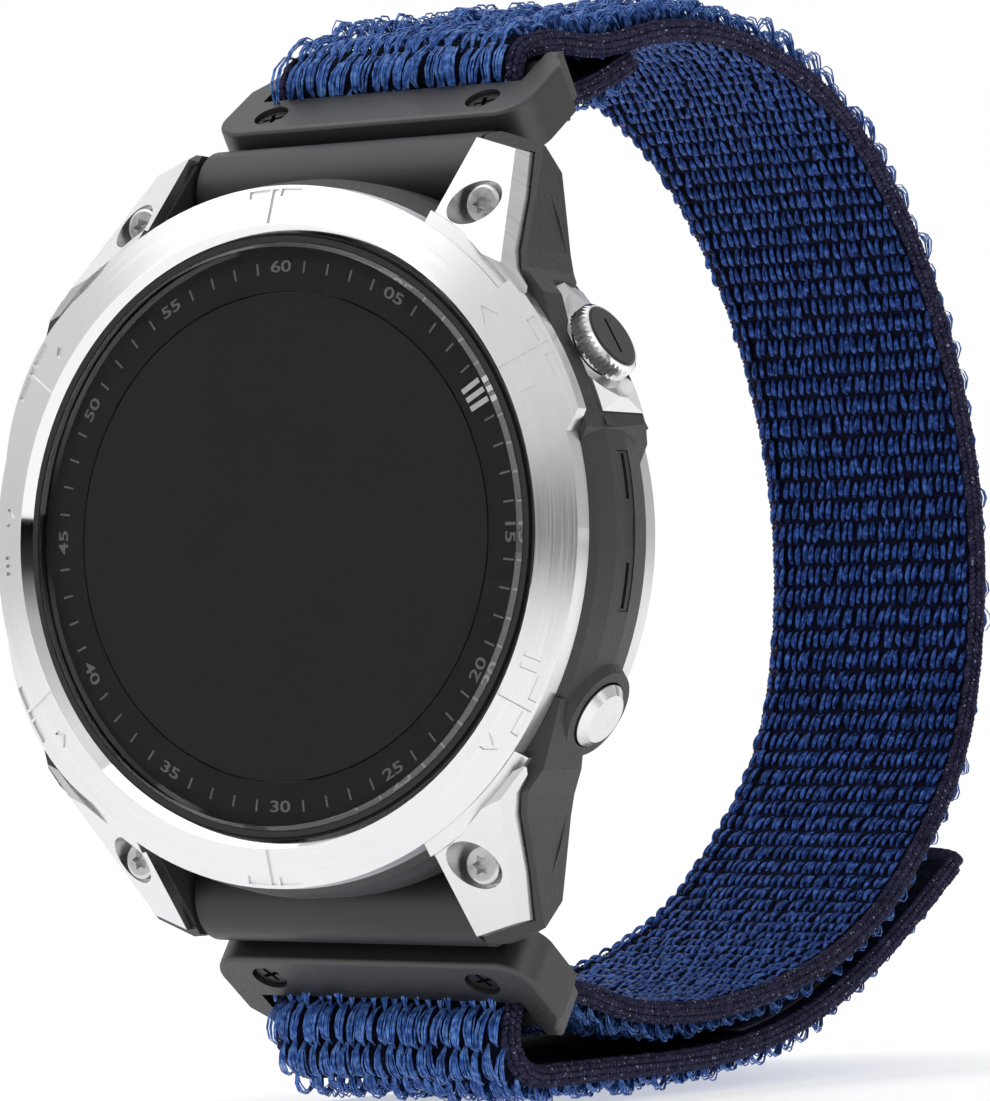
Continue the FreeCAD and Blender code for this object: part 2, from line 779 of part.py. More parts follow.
def bound_disc(label, radius, height, centre):
    """A plain disc with sizes from the sheet."""
    disc = doc.addObject("Part::Cylinder", label)
    disc.setExpression("Radius", radius)
    disc.setExpression("Height", height)
    disc.Placement = HEAD.multiply(Placement(Vector(*centre), Rotation()))
    return keep(disc, label)


def main_board():
    """Round board with its chips and the five switches that the buttons press."""
    radius, thick = dim("board_radius"), dim("board_thick")
    solid = Part.makeCylinder(radius, thick, Vector(0, 0, -2.4 - thick))
    chips = [(-6.0, 2.0, 8.0, 8.0), (5.0, 4.0, 5.0, 6.0), (4.5, -5.5, 6.0, 4.0), (-7.0, -7.5, 4.0, 3.0)]
    for x, y, long, wide in chips:
        solid = solid.fuse(block(x - long / 2, x + long / 2, y - wide / 2, y + wide / 2, -4.15, -3.0))
    for angle in BUTTONS.values():
        switch = block(-1.5, 1.5, -1.0, 2.6, 16.0, 17.2)
        key = rod(0.6, (0, 0, 17.0), (0, 0, SWITCH_TOP))
        solid = solid.fuse(placed(switch.fuse(key), button_place(angle)))
    return single(solid)


feature("main_board", main_board(), HEAD)
battery_corner = (-dim("battery_long") / 2, -dim("battery_wide") / 2, -8.2)
battery_sizes = ["Dimensions.battery_long", "Dimensions.battery_wide", "Dimensions.battery_thick"]
bound_box("battery", battery_sizes, battery_corner, 1.5)
bound_disc("vibration_motor", "Dimensions.motor_radius", "Dimensions.motor_thick", (0, -14.2, -7.4))
bound_disc("sounder", "Dimensions.motor_radius", "Dimensions.sounder_thick", (0, 14.2, -6.0))

# ---------------------------------------------------------------- buttons


def bound_round(label, name, radius, bottom, height, top_radius=None):
    """A cylinder, or a cone with a top radius, on Z, with sizes from the sheet."""
    kind = "Part::Cone" if top_radius else "Part::Cylinder"
    piece = doc.addObject(kind, f"{label}_{name}")
    piece.setExpression("Radius1" if top_radius else "Radius", radius)
    if top_radius:
        piece.setExpression("Radius2", top_radius)
    piece.setExpression("Height", height)
    piece.setExpression("Placement.Base.z", bottom)
    return piece


def fused(label, pieces, place):
    """Primitives joined into one named sub-part."""
    union = doc.addObject("Part::MultiFuse", label)
    union.Shapes = pieces
    union.Refine = True
    doc.recompute()
    union.Placement = place
    return keep(union, label)


def plain_button(label, place):
    """A stem with a low domed head."""
    sized = "Dimensions."
    stem = bound_round(
        label, "stem", sized + "stem_radius", sized + "stem_end",
        f"{sized}button_head - {sized}stem_end + 0.2",
    )
    head = bound_round(
        label, "head", sized + "button_radius", sized + "button_head",
        f"{sized}button_rim - {sized}button_head",
    )
    dome = bound_round(
        label, "dome", sized + "button_radius", sized + "button_rim",
        f"{sized}button_face - {sized}button_rim", f"{sized}button_radius - 0.55",
    )
    return fused(label, [stem, head, dome], place)


KNURLS = 40
RING_BOTTOM = 24.85
RING_TOP = 26.15


def knurled_button():
    """Stem and knurled ring of the start button, with a seat for its cap."""
    ring = prism(star(RING_RADIUS, RING_RADIUS - 0.22, KNURLS), RING_BOTTOM, RING_TOP)
    crown = Part.makeCone(RING_RADIUS + 0.05, RING_RADIUS - 0.3, 0.35, Vector(0, 0, RING_TOP - 0.35))
    below = rod(RING_RADIUS + 0.5, (0, 0, 23.0), (0, 0, RING_TOP - 0.35))
    ring = ring.common(crown.fuse(below))
    solid = ring.cut(rod(2.3, (0, 0, RING_TOP - 0.65), (0, 0, 27)))
    neck = rod(START_POCKET - 0.15, (0, 0, 23.7), (0, 0, RING_BOTTOM + 0.1))
    stem = rod(dim("stem_radius"), (0, 0, dim("stem_end")), (0, 0, 24.2))
    return single(solid.multiFuse([neck, stem]))


def start_cap():
    """Dark cap in the knurled ring, with one straight groove."""
    cap = Part.makeCylinder(2.25, 0.72, Vector(0, 0, RING_TOP - 0.62))
    top = [edge for edge in cap.Edges if edge.BoundBox.ZMin > RING_TOP and edge.Closed]
    cap = cap.makeFillet(0.15, top)
    return single(cap.cut(block(-1.3, 1.3, -0.14, 0.14, RING_TOP - 0.05, 28)))


SPRING_LEAVES = 3
LEAF_THICK = 0.12
LEAF_INNER = 1.55
LEAF_OUTER = 1.88
CREST_HALF = 0.15


def wave_spring(bottom, top):
    """A stack of thin spring leaves that touch at crests, set alternately round the stem."""
    pitch = (top - bottom - LEAF_THICK) / (SPRING_LEAVES - 1)
    pieces = []
    for level in range(SPRING_LEAVES):
        low = bottom + level * pitch
        high = low + LEAF_THICK
        section = [(LEAF_INNER, low), (LEAF_OUTER, low), (LEAF_OUTER, high), (LEAF_INNER, high)]
        pieces.append(revolved(section))
        if level == 0:
            continue
        for turn in range(3):
            inner, outer = LEAF_INNER + 0.05, LEAF_OUTER - 0.05
            crest = block(inner, outer, -CREST_HALF, CREST_HALF, low - pitch, low + LEAF_THICK / 2)
            crest.rotate(Vector(), Vector(0, 0, 1), 120.0 * turn + 60.0 * level)
            pieces.append(crest)
    return single(pieces[0].multiFuse(pieces[1:]))


SEAL_WIRE = 0.235
SPRING_PRESSED = 0.85
for name, angle in BUTTONS.items():
    where = HEAD.multiply(button_place(angle))
    if name == "start":
        feature("start_button", knurled_button(), where)
        feature("start_cap", start_cap(), where)
    else:
        plain_button(name + "_button", where)
    floor = dim("pocket_floor")
    feature(name + "_spring", wave_spring(floor, floor + SPRING_PRESSED), where)
    seal = Part.makeTorus((dim("stem_radius") + dim("seal_bore")) / 2, SEAL_WIRE, Vector(0, 0, 20.6))
    feature(name + "_seal", seal, where)
    clip = revolved([(0.8, 19.05), (1.5, 19.05), (1.5, 19.35), (0.8, 19.35)], 300.0)
    feature(name + "_clip", clip, where)

# ---------------------------------------------------------------- strap adapters

TILT = math.radians(dim("adapter_tilt"))
ADAPTERS = {"top": 0.0, "bottom": 180.0}


def adapter_place(turn):
    """Local Y runs along the plate away from the watch, local Z out of its face."""
    along = Vector(0, math.cos(TILT), math.sin(TILT))
    out = Vector(0, -math.sin(TILT), math.cos(TILT))
    screws = Vector(0, dim("screw_depth"), dim("screw_height"))
    face = Placement(screws, Rotation(Vector(1, 0, 0), along, out, "ZXY"))
    flip = Placement(Vector(), Rotation(Vector(0, 1, 0), turn))
    return DIAL.multiply(flip).multiply(face)


def in_adapter(depth, height):
    """A point of the upper half's side view, as (along, out) of the plate."""
    depth -= dim("screw_depth")
    height -= dim("screw_height")
    along = depth * math.cos(TILT) + height * math.sin(TILT)
    return along, height * math.cos(TILT) - depth * math.sin(TILT)


PIN_ALONG, PIN_OUT = in_adapter(dim("pin_depth"), dim("pin_height"))
FRONT_EDGE = -1.5
SLOT_FRONT = 3.0
FRAME_END = 7.3
TONGUE_TOP = -2.25
ADAPTER_SCREW_X = 8.8
EDGE_ROUND = 0.35


def frame_outline():
    """The plate seen from its face: round front corners, tapering behind."""
    half = dim("frame_half")
    right = [
        Part.Arc(Vector(10.3, FRONT_EDGE, 0), Vector(12.3, -0.72, 0), Vector(half, 1.2, 0)).toShape(),
        Part.makeLine(Vector(half, 1.2, 0), Vector(half, 4.9, 0)),
        Part.makeLine(Vector(half, 4.9, 0), Vector(12.1, 6.3, 0)),
        Part.makeLine(Vector(12.1, 6.3, 0), Vector(11.9, FRAME_END, 0)),
    ]
    left = [mirrored_x(edge) for edge in right]
    front = Part.makeLine(Vector(-10.3, FRONT_EDGE, 0), Vector(10.3, FRONT_EDGE, 0))
    rear = Part.makeLine(Vector(-11.9, FRAME_END, 0), Vector(11.9, FRAME_END, 0))
    edges = Part.__sortEdges__([front, rear] + right + left)
    return Part.Face(Part.Wire(edges))


def adapter_frame():
    """Frame with a rear bar for the band and two countersunk screw holes."""
    thick = dim("frame_thick")
    solid = frame_outline().extrude(Vector(0, 0, -thick))
    rims = [e for e in solid.Edges if abs(e.BoundBox.ZMin) < 1e-4 and abs(e.BoundBox.ZMax) < 1e-4]
    solid = solid.makeFillet(EDGE_ROUND, rims)
    slot = dim("slot_half")
    solid = solid.cut(block(-slot, slot, SLOT_FRONT, 12, -10, 5))
    solid = solid.cut(block(-11.5, 11.5, FRONT_EDGE - 1, SLOT_FRONT, -10, TONGUE_TOP + 0.05))
    for x in (-ADAPTER_SCREW_X, ADAPTER_SCREW_X):
        solid = solid.cut(rod(1.28, (x, 0.75, -1.15), (x, 0.75, 1)))
        solid = solid.cut(rod(0.66, (x, 0.75, -5), (x, 0.75, 1)))
    axis = (dim("bar_along"), -dim("bar_down"))
    bar = rod(dim("bar_radius"), (-slot - 0.5, *axis), (slot + 0.5, *axis))
    return single(solid.fuse(bar))


LATCH_TRAVEL = 1.0
LATCH_ROOM = (-4.0, 4.0, -3.4, 0.8, -6.0, -5.0)


def adapter_clip():
    """Barrel that turns on the lug pin, with the tongue that the frame is screwed to."""
    half = dim("barrel_half")
    barrel = rod(dim("barrel_radius"), (-half, PIN_ALONG, PIN_OUT), (half, PIN_ALONG, PIN_OUT))
    tongue = block(-11.2, 11.2, FRONT_EDGE + 0.2, SLOT_FRONT - 0.25, -dim("frame_thick"), TONGUE_TOP)
    neck = prism([(-11.2, PIN_ALONG + 1), (11.2, PIN_ALONG + 1), (11.2, 0.5), (-11.2, 0.5)], -5.4, -3.0)
    solid = barrel.multiFuse([tongue, neck])
    solid = solid.cut(rod(dim("pin_bore"), (-20, PIN_ALONG, PIN_OUT), (20, PIN_ALONG, PIN_OUT)))
    x0, x1, y0, y1, z0, z1 = LATCH_ROOM
    solid = solid.cut(block(x0, x1, y0, y1, z0 - 3, z1))
    for x in (-ADAPTER_SCREW_X, ADAPTER_SCREW_X):
        solid = solid.cut(rod(0.62, (x, 0.75, -8), (x, 0.75, 1)))
    return single(solid)


def cross_screws():
    """Two countersunk cross-head screws."""
    screws = []
    for x in (-ADAPTER_SCREW_X, ADAPTER_SCREW_X):
        head = Part.makeCylinder(1.15, 0.8, Vector(0, 0, -1.1))
        shank = Part.makeCylinder(0.6, 2.6, Vector(0, 0, -3.5))
        cross = block(-0.75, 0.75, -0.16, 0.16, -0.75, 0.5).fuse(block(-0.16, 0.16, -0.75, 0.75, -0.75, 0.5))
        cross.rotate(Vector(), Vector(0, 0, 1), 20.0)
        screw = single(head.fuse(shank).cut(cross))
        screw.translate(Vector(x, 0.75, 0))
        screws.append(screw)
    return Part.makeCompound(screws)


def latch():
    """Sliding catch under the barrel, with a thumb ridge."""
    x0, x1, y0, y1, z0, z1 = LATCH_ROOM
    slide_end = y1 - LATCH_TRAVEL - 0.1
    solid = block(x0 + 0.3, x1 - 0.3, y0 + 0.1, slide_end, -6.3, z1 - 0.05)
    return single(solid.fuse(block(-2.5, 2.5, y0 + 0.5, y0 + 1.1, -7.0, -6.2)))


for side, turn in ADAPTERS.items():
    where = adapter_place(turn)
    feature(side + "_adapter_frame", adapter_frame(), where)
    feature(side + "_adapter_clip", adapter_clip(), where)
    feature(side + "_adapter_screws", cross_screws(), where)
    feature(side + "_latch", latch(), where)
    height = dim("pin_height") * (1 if side == "top" else -1)
    pin = rod(dim("pin_radius"), (-PIN_HALF, dim("pin_depth"), height), (PIN_HALF, dim("pin_depth"), height))
    feature(side + "_lug_pin", pin, DIAL)

# ---------------------------------------------------------------- woven band
# Side-view points are (depth, height) from the middle of the dial.

WRAP_RADIUS = dim("bar_radius") + dim("bar_gap") + dim("band_thick") / 2
BAR = (
    dim("screw_depth") + dim("bar_along") * math.cos(TILT) + dim("bar_down") * math.sin(TILT),
    dim("screw_height") + dim("bar_along") * math.sin(TILT) - dim("bar_down") * math.cos(TILT),
)


def round_bar(angle, lower=False):
    """A point of the band's middle line round a rear bar, at an angle from the plate's outward side."""
    turn = math.pi / 2 + TILT + math.radians(angle)
    depth = BAR[0] + WRAP_RADIUS * math.cos(turn)
    height = BAR[1] + WRAP_RADIUS * math.sin(turn)
    return (depth, -height) if lower else (depth, height)


def ribbon(points, thick, width):
    """A strip of band: a smooth middle line, given a thickness and a width."""
    line = Part.BSplineCurve()
    line.interpolate([Vector(0, y, z) for y, z in points])
    steps = 6 * len(points)
    first, last = line.FirstParameter, line.LastParameter
    sides = []
    for way in (1, -1):
        edge_points = []
        for step in range(steps + 1):
            at = first + (last - first) * step / steps
            along = line.tangent(at)[0]
            across = Vector(0, -along.z, along.y)
            edge_points.append(line.value(at) + across * (way * thick / 2))
        curve = Part.BSplineCurve()
        curve.interpolate(edge_points)
        sides.append(curve.toShape())
    ends = [
        Part.makeLine(sides[0].Vertexes[0].Point, sides[1].Vertexes[0].Point),
        Part.makeLine(sides[0].Vertexes[-1].Point, sides[1].Vertexes[-1].Point),
    ]
    outline = Part.Wire([sides[0], ends[1], sides[1], ends[0]])
    solid = Part.Face(outline).extrude(Vector(width, 0, 0))
    solid.translate(Vector(-width / 2, 0, 0))
    return solid


TOP_UNDER = [(30.5, 35.0), (25.5, 32.75), (21.0, 31.35)]
TOP_LOOP = [(19.5, 35.1), (25.5, 35.5), (33.0, 37.3), (42.7, 38.5), (55.8, 37.0)]
REAR = [(66.8, 32.1), (77.6, 21.6), (84.2, 8.0), (85.2, -3.0), (82.4, -13.6), (76.6, -20.6), (68.0, -27.0)]
BOTTOM_RUN = [(58.0, -30.9), (45.2, -33.1), (36.0, -33.3), (29.0, -32.6), (22.5, -31.2)]
BOTTOM_LOOP = [(14.2, -33.0), (14.4, -34.9), (16.4, -36.6), (19.4, -36.9)]
HINGE = (22.0, -36.9)
HINGE_GAP = 0.15


def strap_band():
    """The whole band apart from its free end, in one piece."""
    upper_wrap = [round_bar(angle) for angle in (180, 150, 120, 90, 60, 30, 0)]
    lower_wrap = [round_bar(angle, True) for angle in (180, 150, 120, 90)]
    path = TOP_UNDER + upper_wrap + TOP_LOOP + REAR + BOTTOM_RUN + lower_wrap + BOTTOM_LOOP
    path.append((HINGE[0] - 0.2, HINGE[1]))
    solid = ribbon(path, dim("band_thick"), dim("band_width"))
    room = rod(dim("band_thick") / 2 + HINGE_GAP, (-20, *HINGE), (20, *HINGE))
    return single(solid.cut(room))


TAIL = [
    HINGE,
    (26.0, -36.9),
    (32.0, -36.9),
    (40.0, -36.8),
    (48.5, -36.1),
    (57.0, -34.4),
    (65.0, -31.6),
    (72.7, -28.0),
    (79.0, -24.6),
]


def strap_tail():
    """The free end, which peels off the band's outside about its fold."""
    solid = ribbon(TAIL, dim("band_thick"), dim("band_width"))
    half = dim("band_width") / 2
    knuckle = rod(dim("band_thick") / 2, (-half, *HINGE), (half, *HINGE))
    return single(solid.fuse(knuckle))


def offset_points(points, gap):
    """Points of a side view moved across the line, towards the wrist."""
    moved = []
    for index, point in enumerate(points):
        before = points[max(index - 1, 0)]
        after = points[min(index + 1, len(points) - 1)]
        run = Vector(after[0] - before[0], after[1] - before[1], 0).normalize()
        moved.append((point[0] - run.y * gap, point[1] + run.x * gap))
    return moved


feature("strap_band", strap_band(), DIAL)
feature("strap_tail", strap_tail(), DIAL)
PATCH_OFFSET = (dim("band_thick") + dim("patch_thick")) / 2 + 0.08
patch_line = offset_points(TAIL[4:], PATCH_OFFSET)
feature("hook_patch", ribbon(patch_line, dim("patch_thick"), dim("band_width") - 4.0), DIAL)
tip_line = [(79.15, -24.52), (80.2, -23.95), (81.4, -23.3)]
feature("tail_tip", ribbon(tip_line, 2.6, dim("band_width")), DIAL)

# ---------------------------------------------------------------- checks and output

doc.recompute()
bad = [item.Label for item in doc.Objects if {"Invalid", "Error"} & set(item.State)]
if bad:
    raise RuntimeError("failed objects: " + ", ".join(bad))
for piece in subparts:
    if piece.Shape.isNull() or not piece.Shape.isValid() or not piece.Shape.Solids:
        raise RuntimeError("bad shape: " + piece.Label)

os.makedirs("parts", exist_ok=True)
for piece in subparts:
    piece.Shape.exportStep(f"parts/{piece.Label}.step")
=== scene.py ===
"""Looks for the round sports watch on its woven band: materials, print, yarns and studio."""
import math

import bpy
import numpy as np
from mathutils import Matrix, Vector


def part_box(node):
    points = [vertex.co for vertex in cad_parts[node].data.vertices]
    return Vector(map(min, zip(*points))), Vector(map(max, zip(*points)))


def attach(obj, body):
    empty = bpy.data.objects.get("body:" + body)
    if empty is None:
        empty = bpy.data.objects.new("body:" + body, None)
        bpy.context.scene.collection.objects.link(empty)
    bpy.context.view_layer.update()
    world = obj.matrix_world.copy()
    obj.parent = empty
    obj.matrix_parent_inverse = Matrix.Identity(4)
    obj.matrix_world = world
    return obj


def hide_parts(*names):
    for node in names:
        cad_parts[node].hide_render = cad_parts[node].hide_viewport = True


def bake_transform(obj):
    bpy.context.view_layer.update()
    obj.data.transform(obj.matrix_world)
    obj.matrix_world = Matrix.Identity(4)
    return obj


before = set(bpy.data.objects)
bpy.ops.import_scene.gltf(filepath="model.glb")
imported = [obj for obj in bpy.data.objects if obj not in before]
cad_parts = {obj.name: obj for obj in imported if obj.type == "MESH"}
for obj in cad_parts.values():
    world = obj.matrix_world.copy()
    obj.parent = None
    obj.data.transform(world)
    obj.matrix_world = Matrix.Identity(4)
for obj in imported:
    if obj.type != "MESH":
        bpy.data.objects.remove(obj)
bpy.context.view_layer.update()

MM = 0.001

# ---------------------------------------------------------------- places from the frame

LENS_LOW, LENS_HIGH = (np.array(corner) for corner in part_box("lens"))
LENS_MIDDLE = (LENS_LOW + LENS_HIGH) / 2
DIAL = np.array([LENS_MIDDLE[0], LENS_HIGH[1], LENS_MIDDLE[2]])


def from_dial(points):
    """Points in millimetres from the middle of the dial, as metres in the row frame."""
    return np.asarray(points, float) * MM + DIAL


# ---------------------------------------------------------------- shader helpers


def operate(tree, operation, first, second):
    """An operation on two numbers, each a socket or a plain value."""
    node = tree.nodes.new("ShaderNodeMath")
    node.operation = operation
    for socket, value in zip(node.inputs, (first, second)):
        if isinstance(value, (int, float)):
            socket.default_value = value
        else:
            tree.links.new(value, socket)
    return node.outputs[0]


def set_stops(node, stops):
    """Give a ramp its stops, each a position from 0 to 1 with a colour or a grey."""
    elements = node.color_ramp.elements
    while len(elements) < len(stops):
        elements.new(0.5)
    for element, (position, colour) in zip(elements, stops):
        element.position = position
        element.color = (*colour, 1) if isinstance(colour, tuple) else (colour, colour, colour, 1)


class Shader:
    """A material's node tree with its Principled shader, and short ways to add nodes."""

    def __init__(self, name, **sockets):
        self.material = bpy.data.materials.new(name)
        self.material.use_nodes = True
        self.tree = self.material.node_tree
        self.principled = self.tree.nodes["Principled BSDF"]
        for socket, value in sockets.items():
            self.principled.inputs[socket.replace("_", " ")].default_value = value

    def add(self, kind, links=(), values=(), **settings):
        node = self.tree.nodes.new(kind)
        for setting, value in settings.items():
            setattr(node, setting, value)
        for socket, value in dict(values).items():
            node.inputs[socket].default_value = value
        for socket, source in dict(links).items():
            self.tree.links.new(source, node.inputs[socket])
        return node

    def drive(self, socket, source):
        self.tree.links.new(source, self.principled.inputs[socket])

    def place(self):
        """Where a point is on the object at rest, in metres."""
        return self.add("ShaderNodeTexCoord").outputs["Object"]

    def math(self, operation, first, second):
        return operate(self.tree, operation, first, second)

    def vector(self, operation, links, values=(), output="Vector"):
        """An operation on vectors: links are sockets, values are plain vectors."""
        node = self.add("ShaderNodeVectorMath", links, values, operation=operation)
        return node.outputs[output]

    def noise(self, scale, detail=3.0, place=None):
        """Noise from 0 to 1; the scale is in waves per metre."""
        place = place or self.place()
        node = self.add("ShaderNodeTexNoise", {"Vector": place}, {"Scale": scale, "Detail": detail})
        return node.outputs["Fac"]

    def stretched(self, scale, turn=(0, 0, 0)):
        """Object coordinates turned and then scaled along each axis, for lines and streaks."""
        turned = self.add("ShaderNodeMapping", {"Vector": self.place()}, {"Rotation": turn})
        node = self.add("ShaderNodeMapping", {"Vector": turned.outputs[0]}, {"Scale": scale})
        return node.outputs[0]

    def ramp(self, source, stops):
        """Colours or greys at stops from 0 to 1."""
        node = self.add("ShaderNodeValToRGB", {"Fac": source})
        set_stops(node, stops)
        return node.outputs["Color"]

    def bump(self, source, strength, distance):
        """Fine relief from a height; the distance is in metres."""
        values = {"Strength": strength, "Distance": distance}
        node = self.add("ShaderNodeBump", {"Height": source}, values)
        self.drive("Normal", node.outputs["Normal"])

    def around_dial(self, radial_scale, turn_scale):
        """Coordinates that run round the dial, so that noise on them makes turned lines."""
        moved = self.vector("SUBTRACT", {0: self.place()}, {1: DIAL})
        across, back, up = self.add("ShaderNodeSeparateXYZ", {0: moved}).outputs
        square = self.math(
            "ADD", self.math("MULTIPLY", across, across), self.math("MULTIPLY", up, up)
        )
        radius = self.math("MULTIPLY", self.math("SQRT", square, 0.0), radial_scale)
        angle = self.math("MULTIPLY", self.math("ARCTAN2", up, across), turn_scale)
        depth = self.math("MULTIPLY", back, radial_scale)
        return self.add("ShaderNodeCombineXYZ", {0: radius, 1: angle, 2: depth}).outputs[0]


RING_SPREAD = 2.0  # how soon a turned line changes on its way round
RING_FINENESS = 8000.0  # turned lines per metre of radius
RING_BUMP = (0.05, 0.00001)
POLISHED_ROUGHNESS = 0.07


def turned_metal(name, colour, low, high, centre, axis, polished_within=0.0, spin=0.75):
    """Metal brushed in rings about an axis, so that reflections stretch along its radii.

    Within the radius polished_within, in millimetres, the metal is smooth and shiny.
    """
    shader = Shader(name, Base_Color=(*colour, 1), Metallic=1.0, Anisotropic=spin)
    moved = shader.vector("SUBTRACT", {0: shader.place()}, {1: centre})
    height = shader.vector("DOT_PRODUCT", {0: moved}, {1: axis}, "Value")
    rise = shader.vector("SCALE", {"Scale": height}, {0: axis})
    outward = shader.vector("SUBTRACT", {0: moved, 1: rise})
    radius = shader.vector("LENGTH", {0: outward}, output="Value")
    along = shader.vector("NORMALIZE", {0: outward})
    shader.drive("Tangent", along)
    links = {
        "Vector": shader.vector("MULTIPLY", {0: along}, {1: (RING_SPREAD,) * 3}),
        "W": shader.math("MULTIPLY", radius, RING_FINENESS),
    }
    values = {"Scale": 1.0, "Detail": 3.0}
    noise = shader.add("ShaderNodeTexNoise", links, values, noise_dimensions="4D")
    grain = noise.outputs["Fac"]
    brushed = shader.math("GREATER_THAN", radius, polished_within * MM)
    rough = shader.math("MULTIPLY", shader.ramp(grain, [(0.25, low), (0.75, high)]), brushed)
    shader.drive("Roughness", shader.math("MAXIMUM", rough, POLISHED_ROUGHNESS))
    shader.bump(shader.math("MULTIPLY", grain, brushed), *RING_BUMP)
    return shader.material


def metal(name, colour, low, high, lines=None, strength=0.1, distance=0.00002, **sockets):
    """Metal whose fine lines change both its roughness and its surface."""
    shader = Shader(name, Base_Color=(*colour, 1), Metallic=1.0, **sockets)
    grain = shader.noise(1.0, 4.0, lines(shader)) if lines else shader.noise(2500.0, 4.0)
    shader.drive("Roughness", shader.ramp(grain, [(0.25, low), (0.75, high)]))
    shader.bump(grain, strength, distance)
    return shader.material


def plastic(
    name, colour, roughness, grain=5000.0, strength=0.25, distance=0.00003,
    variation=0.15, **sockets
):
    """Moulded plastic or coated metal with a fine grain and slightly uneven colour."""
    shader = Shader(name, Roughness=roughness, **sockets)
    darker = tuple(channel * (1 - variation) for channel in colour)
    lighter = tuple(min(channel * (1 + variation), 1) for channel in colour)
    shader.drive("Base Color", shader.ramp(shader.noise(180.0), [(0.3, darker), (0.7, lighter)]))
    shader.bump(shader.noise(grain, 2.0), strength, distance)
    return shader.material


SATIN_BLUE = (0.12, 0.28, 0.85, 1)


def yarn(name, dark, middle, light):
    """Nylon filament: colour that varies from yarn to yarn, with a soft blue shine."""
    shader = Shader(name, Roughness=0.33, Specular_IOR_Level=0.9, Specular_Tint=SATIN_BLUE)
    stops = [(0.36, dark), (0.5, middle), (0.66, light)]
    shader.drive("Base Color", shader.ramp(shader.noise(2400.0, 3.0), stops))
    shader.bump(shader.noise(9000.0, 2.0), 0.3, 0.00003)
    return shader.material


def knit(name, dark, light, speck):
    """Spun edge yarn: matte, mottled, with a few bright filament ends."""
    shader = Shader(name, Roughness=0.85, Specular_IOR_Level=0.1)
    mottled = shader.ramp(shader.noise(1500.0, 4.0), [(0.3, dark), (0.7, light)])
    spots = shader.ramp(shader.noise(3800.0, 1.0), [(0.67, 0.0), (0.74, 1.0)])
    mixed = shader.add("ShaderNodeMix", data_type="RGBA")
    factor, first, second = (
        next(socket for socket in mixed.inputs if socket.name == name and socket.enabled)
        for name in ("Factor", "A", "B")
    )
    shader.tree.links.new(spots, factor)
    shader.tree.links.new(mottled, first)
    second.default_value = (*speck, 1)
    shader.drive("Base Color", next(socket for socket in mixed.outputs if socket.enabled))
    shader.bump(shader.noise(6000.0, 3.0), 0.5, 0.00006)
    return shader.material


def glass(name, colour, roughness=0.01, transmission=1.0):
    """Glass with a flat surface, whose roughness varies faintly from place to place."""
    shader = Shader(name, Base_Color=(*colour, 1), Transmission_Weight=transmission)
    stops = [(0.3, roughness), (0.7, roughness * 1.5)]
    shader.principled.inputs["Roughness"].default_value = roughness
    shader.drive("Roughness", shader.ramp(shader.noise(60.0, 1.0), stops))
    return shader.material


# ---------------------------------------------------------------- materials of the CAD nodes

STEEL = (0.77, 0.77, 0.78)
ADAPTER_LINES = (0, math.radians(40), math.radians(35))


def turned(shader):
    """Lines round the dial."""
    return shader.around_dial(9000.0, 5.0)


def brushed_across(shader):
    """Lines across the adapters, along their sloping faces."""
    return shader.stretched((900.0, 12000.0, 12000.0), ADAPTER_LINES)


def brushed_up(shader):
    """Upright lines."""
    return shader.stretched((9000.0, 9000.0, 500.0))


# Brushed faces of the bezel end where the polished bevel round its opening begins.
BEZEL_BEVEL = 20.97
bezel_steel = turned_metal(
    "bezel_steel", STEEL, 0.24, 0.42, DIAL, (0, 1, 0), polished_within=BEZEL_BEVEL
)
guard_steel = metal("guard_steel", STEEL, 0.25, 0.36, brushed_up, 0.12)
screw_steel = metal("screw_steel", (0.62, 0.62, 0.63), 0.22, 0.4)
back_steel = metal("back_steel", (0.72, 0.72, 0.73), 0.28, 0.42, turned, 0.12)
knurl_chrome = metal("knurl_chrome", (0.88, 0.88, 0.89), 0.10, 0.2)
inner_metal = metal("inner_metal", (0.7, 0.71, 0.72), 0.35, 0.5)
brass = metal("sounder_brass", (0.78, 0.6, 0.32), 0.3, 0.45)
case_polymer = plastic("case_polymer", (0.029, 0.029, 0.030), 0.52, 2600.0, 0.55, 0.00009)
adapter_grey = metal(
    "adapter_grey", (0.095, 0.095, 0.097), 0.36, 0.58, brushed_across, 0.35, 0.00003
)
barrel_black = plastic("barrel_black", (0.014, 0.014, 0.015), 0.42)
cap_dark = plastic("cap_dark", (0.030, 0.030, 0.031), 0.36, Metallic=0.6)
screw_black = plastic("screw_black", (0.018, 0.018, 0.019), 0.35, Metallic=0.5)
rubber = plastic("black_rubber", (0.006, 0.006, 0.006), 0.55, strength=0.1)
dial_black = plastic("dial_black", (0.0150, 0.0150, 0.0152), 0.75, variation=0.05)
display_black = plastic("display_black", (0.0190, 0.0190, 0.0194), 0.7, variation=0.04)
dark_plastic = plastic("dark_plastic", (0.02, 0.02, 0.02), 0.5)
board_green = plastic("board_green", (0.015, 0.11, 0.05), 0.35)
lens_glass = glass("lens_glass", (1, 1, 1))
window_glass = glass("window_glass", (0.03, 0.03, 0.035), 0.03, 0.3)

